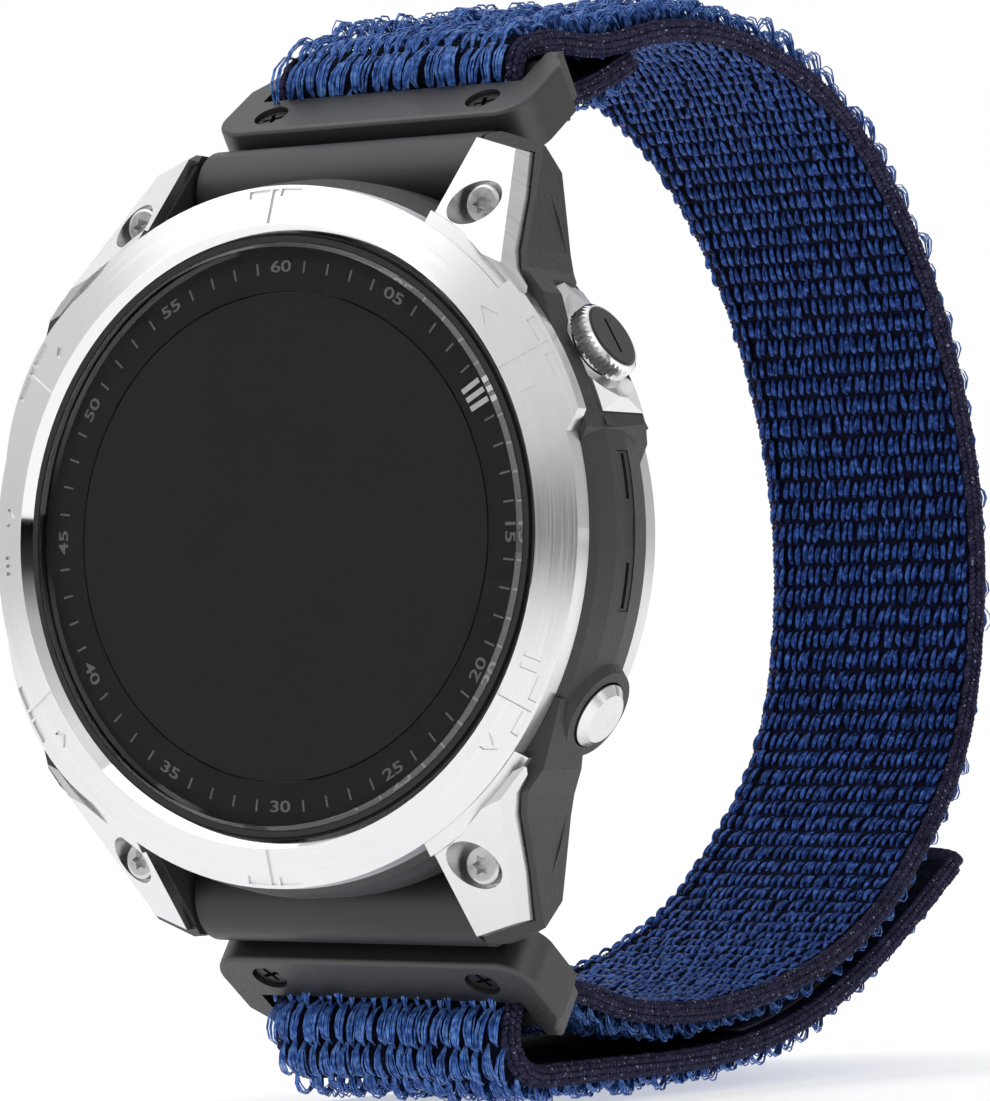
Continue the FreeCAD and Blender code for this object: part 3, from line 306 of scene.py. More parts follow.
BUTTON_NAMES = ("start", "back", "down", "up", "light")
BUTTONS_MIDDLE = from_dial([(0, 5.4, 0)])[0]
DOMED_BUTTONS = {"back": 119.0, "down": 241.0, "up": 270.0, "light": 299.0}  # clock angles
FINISHES = {
    bezel_steel: ["bezel"],
    guard_steel: ["button_guard"],
    screw_steel: ["bezel_screws", "case_back_screws", "top_lug_pin", "bottom_lug_pin"],
    back_steel: ["case_back"],
    knurl_chrome: ["start_button"],
    inner_metal: ["display_frame", "vibration_motor", "battery"]
    + [name + part for name in BUTTON_NAMES for part in ("_spring", "_clip")],
    brass: ["sounder"],
    case_polymer: ["mid_case"],
    adapter_grey: ["top_adapter_frame", "bottom_adapter_frame"],
    barrel_black: ["top_adapter_clip", "bottom_adapter_clip", "top_latch", "bottom_latch"],
    cap_dark: ["start_cap"],
    screw_black: ["top_adapter_screws", "bottom_adapter_screws"],
    rubber: ["lens_gasket", "back_gasket"] + [name + "_seal" for name in BUTTON_NAMES],
    dial_black: ["minute_ring"],
    display_black: ["display_panel"],
    dark_plastic: ["side_vent", "charge_contacts"],
    board_green: ["main_board", "sensor_board"],
    lens_glass: ["lens"],
    window_glass: ["sensor_window"],
}
for name, angle in DOMED_BUTTONS.items():
    out = (math.sin(math.radians(angle)), 0, math.cos(math.radians(angle)))
    dome_steel = turned_metal(name + "_steel", STEEL, 0.20, 0.30, BUTTONS_MIDDLE, out, spin=0.85)
    FINISHES[dome_steel] = [name + "_button"]
for material, nodes in FINISHES.items():
    for node in nodes:
        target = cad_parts[node]
        target.data.materials.clear()
        target.data.materials.append(material)

# ---------------------------------------------------------------- mesh helpers


def mesh_object(name, points, faces, material, smooth=True):
    """A mesh from points in metres in the row frame."""
    mesh = bpy.data.meshes.new(name)
    whole_faces = [tuple(int(index) for index in face) for face in faces]
    mesh.from_pydata(np.asarray(points).tolist(), [], whole_faces)
    mesh.validate()
    mesh.polygons.foreach_set("use_smooth", [smooth] * len(mesh.polygons))
    mesh.materials.append(material)
    made = bpy.data.objects.new(name, mesh)
    bpy.context.scene.collection.objects.link(made)
    return made


class Parts:
    """Points and faces of many small solids, gathered for one mesh."""

    def __init__(self):
        self.points, self.faces, self.count = [], [], 0

    def add(self, points, faces):
        points = np.asarray(points, float).reshape(-1, 3)
        self.faces.extend([[index + self.count for index in face] for face in faces])
        self.points.append(points)
        self.count += len(points)

    def object(self, name, material, smooth=True):
        return mesh_object(name, np.concatenate(self.points), self.faces, material, smooth)


def tube_faces(rings, sides):
    """Faces of a tube with its ends closed."""
    faces = []
    for ring in range(rings - 1):
        for side in range(sides):
            nearby = (side + 1) % sides
            low, high = ring * sides, (ring + 1) * sides
            faces.append((low + side, low + nearby, high + nearby, high + side))
    faces.append(tuple(reversed(range(sides))))
    faces.append(tuple(range((rings - 1) * sides, rings * sides)))
    return faces


# ---------------------------------------------------------------- dial print

RING_FRONT = (DIAL[1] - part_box("minute_ring")[0][1]) / MM
PRINT_BACK, PRINT_FRONT = RING_FRONT, RING_FRONT + 0.03
TICK_MIDDLE = 18.18  # millimetres from the dial's middle
TICK_LONG, TICK_WIDE = 0.78, 0.13
NUMERAL_SIZE = 1.08
NUMERAL_STRETCH = 1.6
NUMERAL_WEIGHT = 0.012
MARK_ANGLES = (57.8, 60.0, 62.2)
MARK_MINUTE = 10
MARK_MIDDLE, MARK_LONG, MARK_WIDE = 17.9, 1.5, 0.36


def dial_points(flat, height):
    """(across, up) points on the dial, at a height in front of it, in the row frame."""
    flat = np.asarray(flat, float)
    return from_dial(np.column_stack([flat[:, 0], np.full(len(flat), -height), flat[:, 1]]))


def turned_flat(points, clock):
    """Flat points turned clockwise by a clock angle."""
    angle = math.radians(-clock)
    turn = np.array([[math.cos(angle), -math.sin(angle)], [math.sin(angle), math.cos(angle)]])
    return np.asarray(points, float) @ turn.T


def slab(parts, outline, back, front):
    """A thin plate from an outline of flat points."""
    count = len(outline)
    points = np.concatenate([dial_points(outline, back), dial_points(outline, front)])
    faces = [tuple(range(count)), tuple(reversed(range(count, 2 * count)))]
    for index in range(count):
        following = (index + 1) % count
        faces.append((index, index + count, following + count, following))
    parts.add(points, faces)


def bar(middle, long, wide):
    """An upright bar's outline above the dial's middle."""
    low, high = middle - long / 2, middle + long / 2
    return [(-wide / 2, low), (wide / 2, low), (wide / 2, high), (-wide / 2, high)]


def numeral(text, clock):
    """A number's mesh, read from outside in the upper half and from inside in the lower half."""
    curve = bpy.data.curves.new("numeral", "FONT")
    curve.body = text
    curve.size = NUMERAL_SIZE
    curve.align_x = "CENTER"
    curve.align_y = "CENTER"
    curve.offset = NUMERAL_WEIGHT
    curve.extrude = (PRINT_FRONT - PRINT_BACK) / 2
    source = bpy.data.objects.new("numeral", curve)
    mesh = bpy.data.meshes.new_from_object(source)
    points = np.array([v.co[:] for v in mesh.vertices])
    faces = [tuple(face.vertices) for face in mesh.polygons]
    bpy.data.objects.remove(source)
    way = -1 if 90 < clock < 270 else 1
    flat = points[:, :2] * (way * NUMERAL_STRETCH, way)
    flat = turned_flat(flat + (0, TICK_MIDDLE), clock)
    height = points[:, 2] + (PRINT_FRONT + PRINT_BACK) / 2
    return from_dial(np.column_stack([flat[:, 0], -height, flat[:, 1]])), faces


grey_print, white_print = Parts(), Parts()
for minute in range(60):
    clock = minute * 6.0
    if minute % 5:
        outline = turned_flat(bar(TICK_MIDDLE, TICK_LONG, TICK_WIDE), clock)
        slab(grey_print, outline, PRINT_BACK, PRINT_FRONT)
    elif minute != MARK_MINUTE:
        grey_print.add(*numeral(f"{minute or 60:02d}", clock))
for clock in MARK_ANGLES:
    outline = turned_flat(bar(MARK_MIDDLE, MARK_LONG, MARK_WIDE), clock)
    slab(white_print, outline, PRINT_BACK, PRINT_FRONT)

print_grey = plastic("print_grey", (0.24, 0.24, 0.24), 0.6, variation=0.03)
print_white = plastic("print_white", (0.85, 0.85, 0.85), 0.6, variation=0.02)
for parts, name, material in (
    (grey_print, "dial_scale", print_grey),
    (white_print, "dial_mark", print_white),
):
    piece = parts.object(name, material, smooth=False)
    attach(piece, "case")

# ---------------------------------------------------------------- the woven band's line

WIDTH = 20.0
THICK = 1.6
BAR_RADIUS = 1.0
BAR_CLEARANCE = 0.15
WRAP_RADIUS = BAR_RADIUS + BAR_CLEARANCE + THICK / 2
BAR = (16.503, 32.308)  # depth and height of the upper adapter's rear bar from the dial
TILT = math.radians(35.0)  # slope of the adapters
SKEW, SKEW_FROM, SKEW_OVER = 1.6, 30.0, 50.0  # the band's left edge stands farther back


def round_bar(angle, lower=False):
    """The band's middle line round an adapter's rear bar, as (depth, height) from the dial."""
    turn = math.pi / 2 + TILT + math.radians(angle)
    depth, height = BAR[0] + WRAP_RADIUS * math.cos(turn), BAR[1] + WRAP_RADIUS * math.sin(turn)
    return (depth, -height if lower else height)


class Line:
    """A smooth side-view line through points, measured along its length in millimetres."""

    STEP = 0.1
    FINENESS = 60  # places worked out for each given point

    def __init__(self, points):
        points = np.asarray(points, float)
        spaces = np.linalg.norm(np.diff(points, axis=0), axis=1)
        knots = np.concatenate([[0], np.cumsum(np.sqrt(spaces))])
        fine = np.linspace(0, knots[-1], self.FINENESS * len(points))
        smooth = np.column_stack([self.spline(knots, column, fine) for column in points.T])
        along = np.concatenate([[0], np.cumsum(np.linalg.norm(np.diff(smooth, axis=0), axis=1))])
        self.length = along[-1]
        self.at = np.linspace(0, self.length, int(self.length / self.STEP))
        self.points = np.column_stack([np.interp(self.at, along, column) for column in smooth.T])
        run = np.gradient(self.points, self.at, axis=0)
        run /= np.linalg.norm(run, axis=1)[:, None]
        self.normals = np.column_stack([-run[:, 1], run[:, 0]])

    @staticmethod
    def spline(knots, values, at):
        """A natural cubic spline."""
        count, gaps = len(knots), np.diff(knots)
        matrix, right = np.eye(count), np.zeros(count)
        for i in range(1, count - 1):
            matrix[i, i - 1 : i + 2] = gaps[i - 1], 2 * (gaps[i - 1] + gaps[i]), gaps[i]
            slope_before = (values[i] - values[i - 1]) / gaps[i - 1]
            slope_after = (values[i + 1] - values[i]) / gaps[i]
            right[i] = 6 * (slope_after - slope_before)
        bends = np.linalg.solve(matrix, right)
        i = np.clip(np.searchsorted(knots, at) - 1, 0, count - 2)
        gap, before, after = gaps[i], at - knots[i], knots[i + 1] - at
        cubic = (bends[i] * after**3 + bends[i + 1] * before**3) / (6 * gap)
        left = (values[i] / gap - bends[i] * gap / 6) * after
        return cubic + left + (values[i + 1] / gap - bends[i + 1] * gap / 6) * before

    def nearest(self, depth, height):
        """How far along the line the point nearest to (depth, height) is."""
        away = np.hypot(self.points[:, 0] - depth, self.points[:, 1] - height)
        return self.at[np.argmin(away)]

    def place(self, along, across, out):
        """Points in the row frame from distances along, across and out of the band."""
        along, across, out = np.broadcast_arrays(along, across, out)
        depth, height, normal_y, normal_z = (
            np.interp(along, self.at, column) for column in (*self.points.T, *self.normals.T)
        )
        skew = SKEW * np.clip((depth - SKEW_FROM) / SKEW_OVER, 0, 1) * (0.5 - across / WIDTH)
        points = np.stack([across, depth + normal_y * out + skew, height + normal_z * out], axis=-1)
        return from_dial(points)


# (depth, height) from the dial, from the end under the upper bar to the free end
TOP_UNDER = [(30.5, 35.0), (25.5, 32.75), (21.0, 31.35)]
TOP_LOOP = [(19.5, 35.1), (25.5, 35.5), (33.0, 37.3), (42.7, 38.5), (55.8, 37.0)]
REAR = [(66.8, 32.1), (77.6, 21.6), (84.2, 8.0), (85.2, -3.0)]
REAR += [(82.4, -13.6), (76.6, -20.6), (68.0, -27.0)]
BOTTOM_RUN = [(58.0, -30.9), (45.2, -33.1), (36.0, -33.3), (29.0, -32.6), (22.5, -31.2)]
BOTTOM_LOOP = [(14.2, -33.0), (14.4, -34.9), (16.4, -36.6), (19.4, -36.9)]
TAIL = [(22.0, -36.9), (26.0, -36.9), (32.0, -36.9), (40.0, -36.8), (48.5, -36.1)]
TAIL += [(57.0, -34.4), (65.0, -31.6), (72.7, -28.0), (79.0, -24.6), (81.2, -23.4)]
upper_wrap = [round_bar(angle) for angle in (180, 150, 120, 90, 60, 30, 0)]
lower_wrap = [round_bar(angle, True) for angle in (180, 150, 120, 90)]
band_line = Line(TOP_UNDER + upper_wrap + TOP_LOOP + REAR + BOTTOM_RUN + lower_wrap)
tail_line = Line(lower_wrap[-2:] + BOTTOM_LOOP + TAIL)

# ---------------------------------------------------------------- weaving

rng = np.random.default_rng(47)
CORE = 0.55  # half the ground's thickness
EDGE = 9.35  # half the ground's width
FINE_ROW, LONG_ROW = 1.80, 2.35  # spaces between rows of yarns

# Fine yarns vary in tone at random; their lightest stop is also a painted highlight on the yarns.
fine_blue_and_painted_highlight = yarn("fine_blue_and_painted_highlight", (0.003, 0.008, 0.050), (0.015, 0.044, 0.19), (0.068, 0.16, 0.52))
loop_blue = yarn("loop_blue", (0.022, 0.062, 0.24), (0.070, 0.17, 0.50), (0.19, 0.36, 0.76))
# The ground's navy is darkened to near black: painted shade for the gaps between the yarn rows.
ground_navy_and_painted_shade = knit(
    "ground_navy_and_painted_shade", (0.0010, 0.0016, 0.008), (0.0035, 0.0045, 0.018), (0.02, 0.02, 0.05)
)
edge_navy = knit("edge_navy", (0.012, 0.012, 0.034), (0.048, 0.045, 0.095), (0.34, 0.34, 0.40))

GROUND_STEP = 0.45
GROUND_COLUMNS = 9
GROUND_RIB = 0.12


def circle(sides):
    """Angles of the corners of a many-sided ring."""
    return np.arange(sides) * 2 * math.pi / sides


def woven_core(line, name):
    """The closed ground of the band: a flat strip with ribs across it, dark navy deepened to near
    black with painted shade for the gaps between the yarn rows.
    """
    stations = np.arange(0.0, line.length, GROUND_STEP)
    over = np.linspace(-EDGE, EDGE, GROUND_COLUMNS)
    across = np.concatenate([over, np.linspace(EDGE, -EDGE, GROUND_COLUMNS)])
    side = np.concatenate([np.full(GROUND_COLUMNS, 1.0), np.full(GROUND_COLUMNS, -1.0)])
    rows = []
    for along in stations:
        rib = 1 + GROUND_RIB * math.cos(2 * math.pi * along / FINE_ROW)
        rows.append(line.place(along, across, side * CORE * rib))
    points = np.concatenate(rows)
    return mesh_object(name, points, tube_faces(len(stations), len(across)), ground_navy_and_painted_shade)


LOOSE_LOOPS = {
    "columns": np.arange(-9.3, 9.5, 0.90),
    "long": 2.8,
    "thick": 0.075,
    "base": CORE - 0.05,
    "slant": 0.22,
    "strands": 7,
    "splay": 0.60,
    "lean": 0.0,
    "rings": 6,
}
FINE_YARNS = {
    "columns": np.arange(-9.5, 8.9, 0.67),
    "long": 1.68,
    "thick": 0.14,
    "base": CORE - 0.12,
    "slant": 0.15,
    "strands": 4,
    "splay": 0.16,
    "lean": 0.18,
    "rings": 7,
}
LOOP_ARCH, CROWN_ARCH, FINE_ARCH = 1.15, 1.9, 0.42
YARN_SIDES = 4
YARN_BOW = 0.10
SHIFT_ALONG, SHIFT_ACROSS, SHIFT_SLANT = 0.07, 0.06, 0.10
VARY_LENGTH, VARY_ARCH, VARY_BOW = (0.88, 1.12), (0.7, 1.25), (0.4, 1.6)
VARY_LIFT, VARY_SPLAY, VARY_THICKNESS = (0.8, 1.15), (0.7, 1.3), (0.85, 1.15)
STRAND_SPACE = 0.08
HUMP_POWER = 0.8
END_THICKNESS = 0.45
FLATTENED = 0.85
# Yarns beside the left edge stand a little higher, over the edge knit.
LEFT_RISE, LEFT_FROM, LEFT_OVER = 0.24, -8.2, 0.6


def yarns(line, rows, side, arch, columns, long, thick, base, slant, strands, splay, lean, rings):
    """Short yarns that rise out of the band and go back in, in rows across it."""
    along, across = (grid.ravel() for grid in np.meshgrid(rows, columns, indexing="ij"))
    count = len(along)
    raised = base + LEFT_RISE * np.clip((LEFT_FROM - across) / LEFT_OVER, 0, 1)
    along = along + rng.normal(0, SHIFT_ALONG, count)
    across = across + rng.normal(0, SHIFT_ACROSS, count)
    lengths = long * rng.uniform(*VARY_LENGTH, count) / 2
    slants = slant * side + rng.normal(0, SHIFT_SLANT, count)
    arches = arch * rng.uniform(*VARY_ARCH, count)
    bows = YARN_BOW * rng.uniform(*VARY_BOW, count)
    steps = np.linspace(-1, 1, rings)
    hump = (1 - steps**2) * (1 + lean * steps)
    rise = np.maximum(hump, 0) ** HUMP_POWER
    u = lengths[:, None] * steps
    turn = circle(YARN_SIDES)
    parts, faces = Parts(), tube_faces(rings, YARN_SIDES)
    for strand in range(strands):
        share = (strand - (strands - 1) / 2) / max(strands - 1, 1)
        lift = rng.uniform(*VARY_LIFT, count)
        spread = share * splay * rng.uniform(*VARY_SPLAY, count)
        middle_s = along[:, None] + u
        bowed = u * slants[:, None] + (bows + spread)[:, None] * hump
        middle_w = across[:, None] + bowed + share * STRAND_SPACE
        middle_h = raised[:, None] + (arches * lift)[:, None] * rise
        swell = thick * (END_THICKNESS + (1 - END_THICKNESS) * hump)
        radius = (swell * rng.uniform(*VARY_THICKNESS, count)[:, None])[..., None]
        ring_w = middle_w[..., None] + radius * np.cos(turn)
        ring_h = middle_h[..., None] + radius * np.sin(turn) * FLATTENED
        for points in line.place(middle_s[..., None], ring_w, side * ring_h):
            parts.add(points, faces)
    return parts


STITCH_PITCH = 0.46
STITCH_ROWS = 5
STITCH_FIRST, STITCH_FAN = -78.0, 156.0  # angles round the edge, in degrees
STITCH_MARGIN = 0.3
STITCH_RADIUS = 0.66
BEAD_RINGS, BEAD_SIDES = 4, 5
BEAD_REACH = 0.82
BEAD_LONG, BEAD_WIDE, BEAD_HIGH = 0.30, 0.26, 0.23
BEAD_LEAN = 0.35


def edge_stitches(line):
    """The knitted edges: small beads of yarn round each edge of the band."""
    parts = Parts()
    stations = np.arange(STITCH_MARGIN, line.length - STITCH_MARGIN, STITCH_PITCH)
    steps = np.linspace(-BEAD_REACH, BEAD_REACH, BEAD_RINGS)[:, None]
    turn = circle(BEAD_SIDES)
    faces = tube_faces(BEAD_RINGS, BEAD_SIDES)
    for edge in (-1, 1):
        for row in range(STITCH_ROWS):
            angle = math.radians(STITCH_FIRST + STITCH_FAN * row / (STITCH_ROWS - 1))
            shift = STITCH_PITCH / 2 * (row % 2)
            lean = BEAD_LEAN if row % 2 else -BEAD_LEAN
            for station in stations:
                centre = station + shift + rng.normal(0, 0.03)
                size = rng.uniform(*VARY_THICKNESS)
                along = centre + steps * BEAD_LONG * size
                swell = np.sqrt(1 - steps**2) * size
                wide = swell * BEAD_WIDE * np.cos(turn) / STITCH_RADIUS
                sweep = angle + lean * steps * BEAD_LEAN + wide
                out = STITCH_RADIUS + swell * BEAD_HIGH * np.sin(turn)
                across = edge * (EDGE - 0.1 + out * np.cos(sweep))
                parts.add(line.place(along, across, out * np.sin(sweep)), faces)
    return parts


CORD_STEP = 0.6
CORD_MARGIN = 0.2
CORD_RADIUS = 0.62
CORD_SIDES = 10


def edge_cord(line):
    """The round core that the edge stitches lie on."""
    parts = Parts()
    stations = np.arange(CORD_MARGIN, line.length - CORD_MARGIN, CORD_STEP)
    across, out = CORD_RADIUS * np.cos(circle(CORD_SIDES)), CORD_RADIUS * np.sin(circle(CORD_SIDES))
    for edge in (-1, 1):
        rows = [line.place(along, edge * (EDGE - 0.15) + across, out) for along in stations]
        parts.add(np.concatenate(rows), tube_faces(len(stations), CORD_SIDES))
    return parts


def long_loops(line, rows, side, arch=LOOP_ARCH):
    """Rows of long open loops on one side of the band."""
    return yarns(line, rows, side, arch, **LOOSE_LOOPS)


def fine_rows(line, rows, side):
    """Close rows of short fat yarns on one side of the band."""
    return yarns(line, rows, side, FINE_ARCH, **FINE_YARNS)


def woven(line, prefix):
    """Ground, edge cord and edge knit of one stretch of band."""
    return [
        woven_core(line, prefix + "_ground"),
        edge_cord(line).object(prefix + "_edge_cord", edge_navy),
        edge_stitches(line).object(prefix + "_edge_knit", edge_navy),
    ]


inner_start = band_line.nearest(27.5, 35.9)
inner_end = band_line.nearest(20.5, -30.9)
crown_start = band_line.nearest(19.0, 35.0)
crown_end = band_line.nearest(76.6, -20.6)
band_pieces = woven(band_line, "band")
outer_rows = np.arange(2.0, band_line.length - 3.0, LONG_ROW)
crown = (outer_rows > crown_start) & (outer_rows < crown_end)
outer_loops = long_loops(band_line, outer_rows[~crown], 1)
band_pieces.append(outer_loops.object("band_outer_loops", loop_blue))
crown_loops = long_loops(band_line, outer_rows[crown], 1, CROWN_ARCH)
band_pieces.append(crown_loops.object("band_crown_loops", loop_blue))
inner_rows = np.arange(inner_start, inner_end, FINE_ROW)
band_pieces.append(fine_rows(band_line, inner_rows, -1).object("band_inner_rows", fine_blue_and_painted_highlight))
fold_rows = np.arange(inner_end + 1.0, band_line.length - 1.0, LONG_ROW)
band_pieces.append(long_loops(band_line, fold_rows, -1).object("band_fold_loops", loop_blue))
tail_pieces = woven(tail_line, "tail")
tail_rows = np.arange(1.0, tail_line.length - 1.5, LONG_ROW)
tail_pieces.append(long_loops(tail_line, tail_rows, -1).object("tail_loops", loop_blue))

for piece in band_pieces:
    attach(piece, "strap")
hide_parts("strap_band")
FOLD_START = tuple(tail_line.place(tail_line.nearest(19.4, -36.9), 0, 0))
FOLD_END = tuple(tail_line.place(tail_line.nearest(25.0, -36.9), 0, 0))
for piece in tail_pieces:
    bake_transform(piece)
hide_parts("strap_tail")

# ---------------------------------------------------------------- hook patch and end binding


hook_nylon = plastic("hook_nylon", (0.010, 0.012, 0.030), 0.45)

HOOK_START, HOOK_END = tail_line.nearest(49.0, -36.0), tail_line.nearest(78.0, -25.2)
HOOK_PITCH = 1.15
HOOK_SIDES = 6
HOOK_PROFILE = [(0.9, 0.12), (1.25, 0.09), (1.3, 0.22), (1.42, 0.15)]  # height, radius
BACKING_STEP = 0.8
BACKING_COLUMNS = (-8.0, -4.0, 0.0, 4.0, 8.0)
BACKING_TOP, BACKING_BOTTOM = 0.95, 0.62


def hooks():
    """Thin backing with rows of small mushroom hooks that grip the band's loops."""
    parts = Parts()
    stations = np.arange(HOOK_START, HOOK_END, BACKING_STEP)
    across = np.array(BACKING_COLUMNS + BACKING_COLUMNS[::-1])
    count = len(BACKING_COLUMNS)
    out = np.array([BACKING_TOP] * count + [BACKING_BOTTOM] * count)
    rows = [tail_line.place(along, across, out) for along in stations]
    parts.add(np.concatenate(rows), tube_faces(len(stations), len(across)))
    run, rise = np.sin(circle(HOOK_SIDES)), np.cos(circle(HOOK_SIDES))
    faces = tube_faces(len(HOOK_PROFILE), HOOK_SIDES)
    for along in np.arange(HOOK_START + 0.8, HOOK_END - 0.6, HOOK_PITCH):
        for middle in np.arange(-7.4, 7.5, HOOK_PITCH):
            rings = [
                tail_line.place(along + radius * run, middle + radius * rise, height)
                for height, radius in HOOK_PROFILE
            ]
            parts.add(np.concatenate(rings), faces)
    return parts.object("tail_hooks", hook_nylon)


def bound_end(along, across, out):
    """Points at the tail's end, carried straight on past its line."""
    end = tail_line.length
    base = tail_line.place(np.minimum(along, end), across, out)
    run = tail_line.place(end, 0, 0) - tail_line.place(end - 0.5, 0, 0)
    run /= np.linalg.norm(run)
    return base + np.maximum(along - end, 0)[..., None] * run * MM


BINDING_STATIONS = 60
BINDING_SIDES = 14
BINDING_LONG, BINDING_HIGH = 1.15, 1.05  # radii along and out of the tail
BINDING_PAST = 0.4  # its middle lies this far past the tail's end
BINDING_KNOB, BINDING_PITCH = 0.05, 0.7
BINDING_ROUND, BINDING_ROUND_END = 8, EDGE + 0.55


def end_binding():
    """The bound end of the tail: a rolled edge with small swells along it."""
    parts = Parts()
    middle_along = tail_line.length + BINDING_PAST
    turn = circle(BINDING_SIDES)
    stations = np.linspace(-EDGE - 0.5, EDGE + 0.5, BINDING_STATIONS)
    rings = []
    for middle in stations:
        rounded = 1 - (abs(middle) / BINDING_ROUND_END) ** BINDING_ROUND
        swell = math.sqrt(max(0.05, rounded))
        swell *= 1 + BINDING_KNOB * math.cos(middle * 2 * math.pi / BINDING_PITCH)
        along = middle_along + BINDING_LONG * swell * np.cos(turn)
        rings.append(bound_end(along, middle, BINDING_HIGH * swell * np.sin(turn)))
    parts.add(np.concatenate(rings), tube_faces(len(stations), len(turn)))
    return parts.object("tail_binding", edge_navy)


hook_piece, binding_piece = hooks(), end_binding()
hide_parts("hook_patch")
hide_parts("tail_tip")
for piece in (hook_piece, binding_piece):
    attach(piece, "tail")

# ---------------------------------------------------------------- studio

CAMERA_FROM_DIAL = (188.5, -272.5, -14.3)  # millimetres
CAMERA_LOOK = (-0.5321, 0.8457, 0.0403)
CAMERA_UP = (0.0215, -0.0341, 0.9991)
CAMERA_LENS = 161.1


def look_along(forward, up):
    """Rotation for a camera or light that looks along a direction."""
    forward = np.array(forward) / np.linalg.norm(forward)
    right = np.cross(forward, up)
    right /= np.linalg.norm(right)
    matrix = np.column_stack([right, np.cross(right, forward), -forward])
    return Matrix(matrix.tolist()).to_euler()


camera = bpy.data.objects.new("camera", bpy.data.cameras.new("camera"))
camera.data.lens = CAMERA_LENS
camera.data.clip_start = 0.01
camera.location = from_dial([CAMERA_FROM_DIAL])[0]
camera.rotation_euler = look_along(CAMERA_LOOK, CAMERA_UP)
bpy.context.scene.collection.objects.link(camera)
bpy.context.scene.camera = camera


def softbox(name, place, size, power):
    """A square area light facing the watch; its place is in millimetres from the dial."""
    light = bpy.data.lights.new(name, "AREA")
    light.size = size
    light.energy = power
    holder = bpy.data.objects.new(name, light)
    holder.location = from_dial([place])[0]
    holder.rotation_euler = look_along(-np.array(place, float), (0, 0, 1))
    bpy.context.scene.collection.objects.link(holder)


softbox("key", (-300, -330, 640), 0.80, 2.5)
softbox("side", (520, -120, 260), 0.50, 0.6)


# Directions are unit vectors in the row frame. MIRRORED is the (x, z) of what the flat glass
# shows to the camera: a dark gap opens round it.
MIRRORED = (-0.53, 0.04)
GAP_RADIUS = 0.15
GAP_SHARPNESS = -6.0
# Brightness by clock angle round MIRRORED, which gives the bezel its bands of tone.
STUDIO_WEDGES = [
    (-180, 0.78),
    (-150, 0.85),
    (-110, 0.95),
    (-95, 0.82),
    (-80, 0.82),
    (-60, 0.92),
    (-30, 0.85),
    (0, 0.72),
    (18, 0.80),
    (30, 0.45),
    (44, 0.90),
    (75, 0.95),
    (85, 0.08),
    (93, 0.0),
    (101, 0.03),
    (111, 0.92),
    (145, 0.88),
    (156, 0.42),
    (168, 0.78),
    (180, 0.78),
]
STRIP_MIDDLE, STRIP_HALF, STRIP_DARKNESS = 0.31, 0.09, 0.8
FLAG_FROM, FLAG_OVER, FLAG_DARKNESS = 0.35, 0.30, 0.42
SURROUND = 0.90
OVERHEAD = 0.12
AMBIENT_SHARE = 0.60


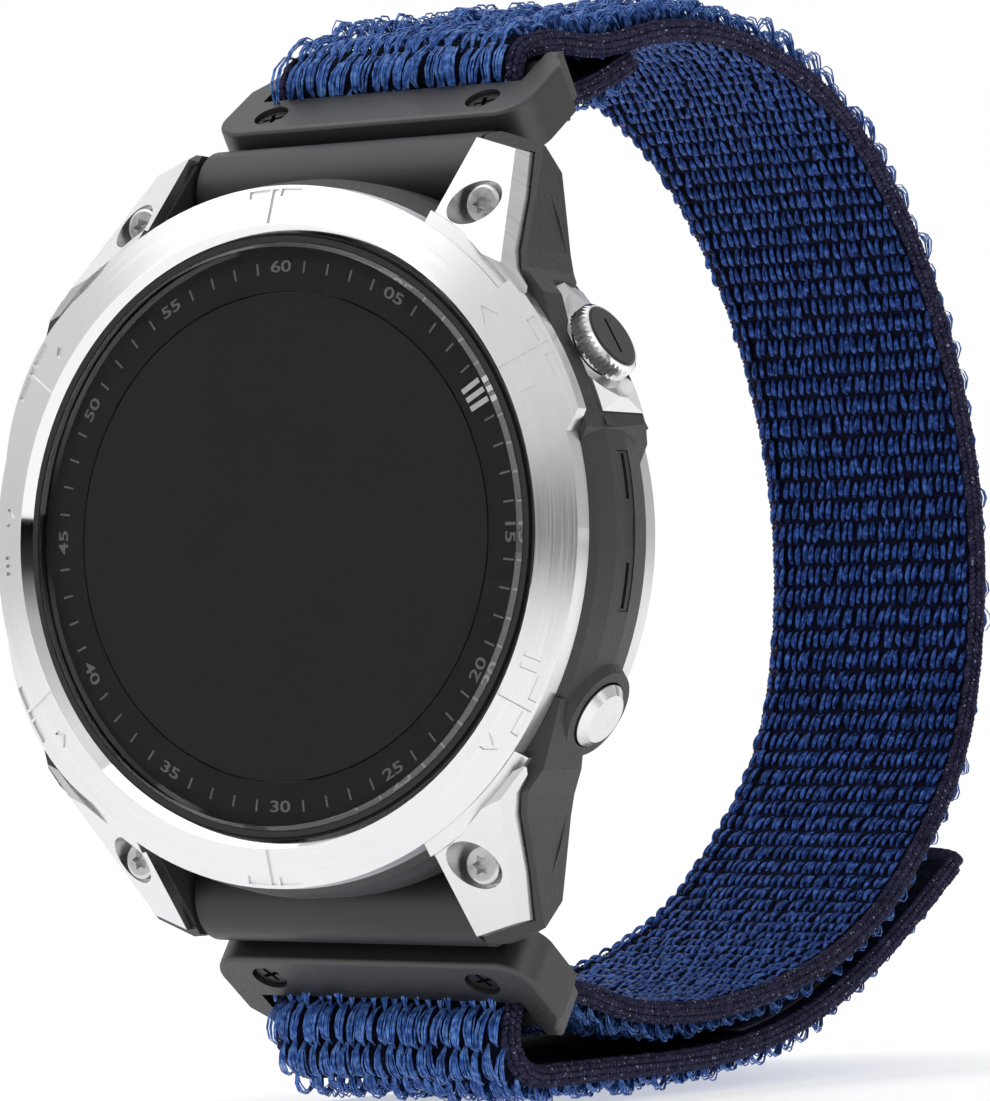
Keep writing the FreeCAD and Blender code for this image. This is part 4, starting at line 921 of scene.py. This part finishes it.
def studio():
    """White surroundings with darker parts, all of them white to the camera.

    In front a dark gap and wedges lie round the direction that the glass mirrors. Behind is a
    dark upright strip, and the right side is darker. Diffuse rays get a share of the light.
    """
    world = bpy.data.worlds.new("studio")
    world.use_nodes = True
    tree = world.node_tree
    background = tree.nodes["Background"]
    direction = tree.nodes.new("ShaderNodeTexCoord").outputs["Generated"]
    parts = tree.nodes.new("ShaderNodeSeparateXYZ")
    tree.links.new(direction, parts.inputs[0])
    x, y, z = parts.outputs
    rays = tree.nodes.new("ShaderNodeLightPath").outputs

    def combine(operation, first, second):
        return operate(tree, operation, first, second)

    def dimmed(light, mask, darkness):
        """Light less a share of it where the mask is 1."""
        return combine(
            "MULTIPLY", light, combine("SUBTRACT", 1.0, combine("MULTIPLY", mask, darkness))
        )

    across = combine("SUBTRACT", x, MIRRORED[0])
    height = combine("SUBTRACT", z, MIRRORED[1])
    clock = combine("DIVIDE", combine("ARCTAN2", across, height), 2 * math.pi)
    wedges = tree.nodes.new("ShaderNodeValToRGB")
    set_stops(wedges, [(angle / 360 + 0.5, brightness) for angle, brightness in STUDIO_WEDGES])
    tree.links.new(combine("ADD", clock, 0.5), wedges.inputs["Fac"])
    squares = combine("ADD", combine("POWER", across, 2.0), combine("POWER", height, 2.0))
    far = combine("DIVIDE", combine("SQRT", squares, 0.0), GAP_RADIUS)
    closed = combine("ADD", 1.0, combine("POWER", far, GAP_SHARPNESS))
    shaped = combine("MULTIPLY", wedges.outputs["Color"], combine("DIVIDE", 1.0, closed))
    behind = combine("GREATER_THAN", y, 0.0)
    light = combine("MAXIMUM", shaped, behind)

    strip_far = combine("DIVIDE", combine("SUBTRACT", x, STRIP_MIDDLE), STRIP_HALF)
    strip = combine("DIVIDE", behind, combine("ADD", 1.0, combine("POWER", strip_far, 4.0)))
    light = dimmed(light, strip, STRIP_DARKNESS)
    flag = combine("DIVIDE", combine("SUBTRACT", x, FLAG_FROM), FLAG_OVER)
    flag = combine("MINIMUM", combine("MAXIMUM", flag, 0.0), 1.0)
    light = dimmed(light, flag, FLAG_DARKNESS)
    level = combine("ADD", SURROUND, combine("MULTIPLY", z, OVERHEAD))
    light = combine("MULTIPLY", level, light)
    light = dimmed(light, rays["Is Diffuse Ray"], 1 - AMBIENT_SHARE)
    seen = rays["Is Camera Ray"]
    strength = combine("ADD", dimmed(light, seen, 1.0), seen)
    background.inputs["Color"].default_value = (1, 1, 1, 1)
    tree.links.new(strength, background.inputs["Strength"])
    bpy.context.scene.world = world


studio()

FLOOR_HALF = 0.5
FLOOR_LEVEL = -0.0016  # just under the lowest yarn loops
FLOOR_CORNERS = ((-1, -1), (1, -1), (1, 1), (-1, 1))
floor_white = Shader(
    "floor_white",
    Base_Color=(0.9, 0.9, 0.9, 1),
    Roughness=0.9,
    Emission_Color=(1, 1, 1, 1),
    Emission_Strength=0.50,
    Specular_IOR_Level=0.0,
)
floor_points = [(x * FLOOR_HALF, y * FLOOR_HALF, FLOOR_LEVEL) for x, y in FLOOR_CORNERS]
floor = mesh_object("floor", floor_points, [(0, 1, 2, 3)], floor_white.material)
bpy.context.scene.view_settings.view_transform = "Standard"
bpy.context.scene.view_settings.look = "None"
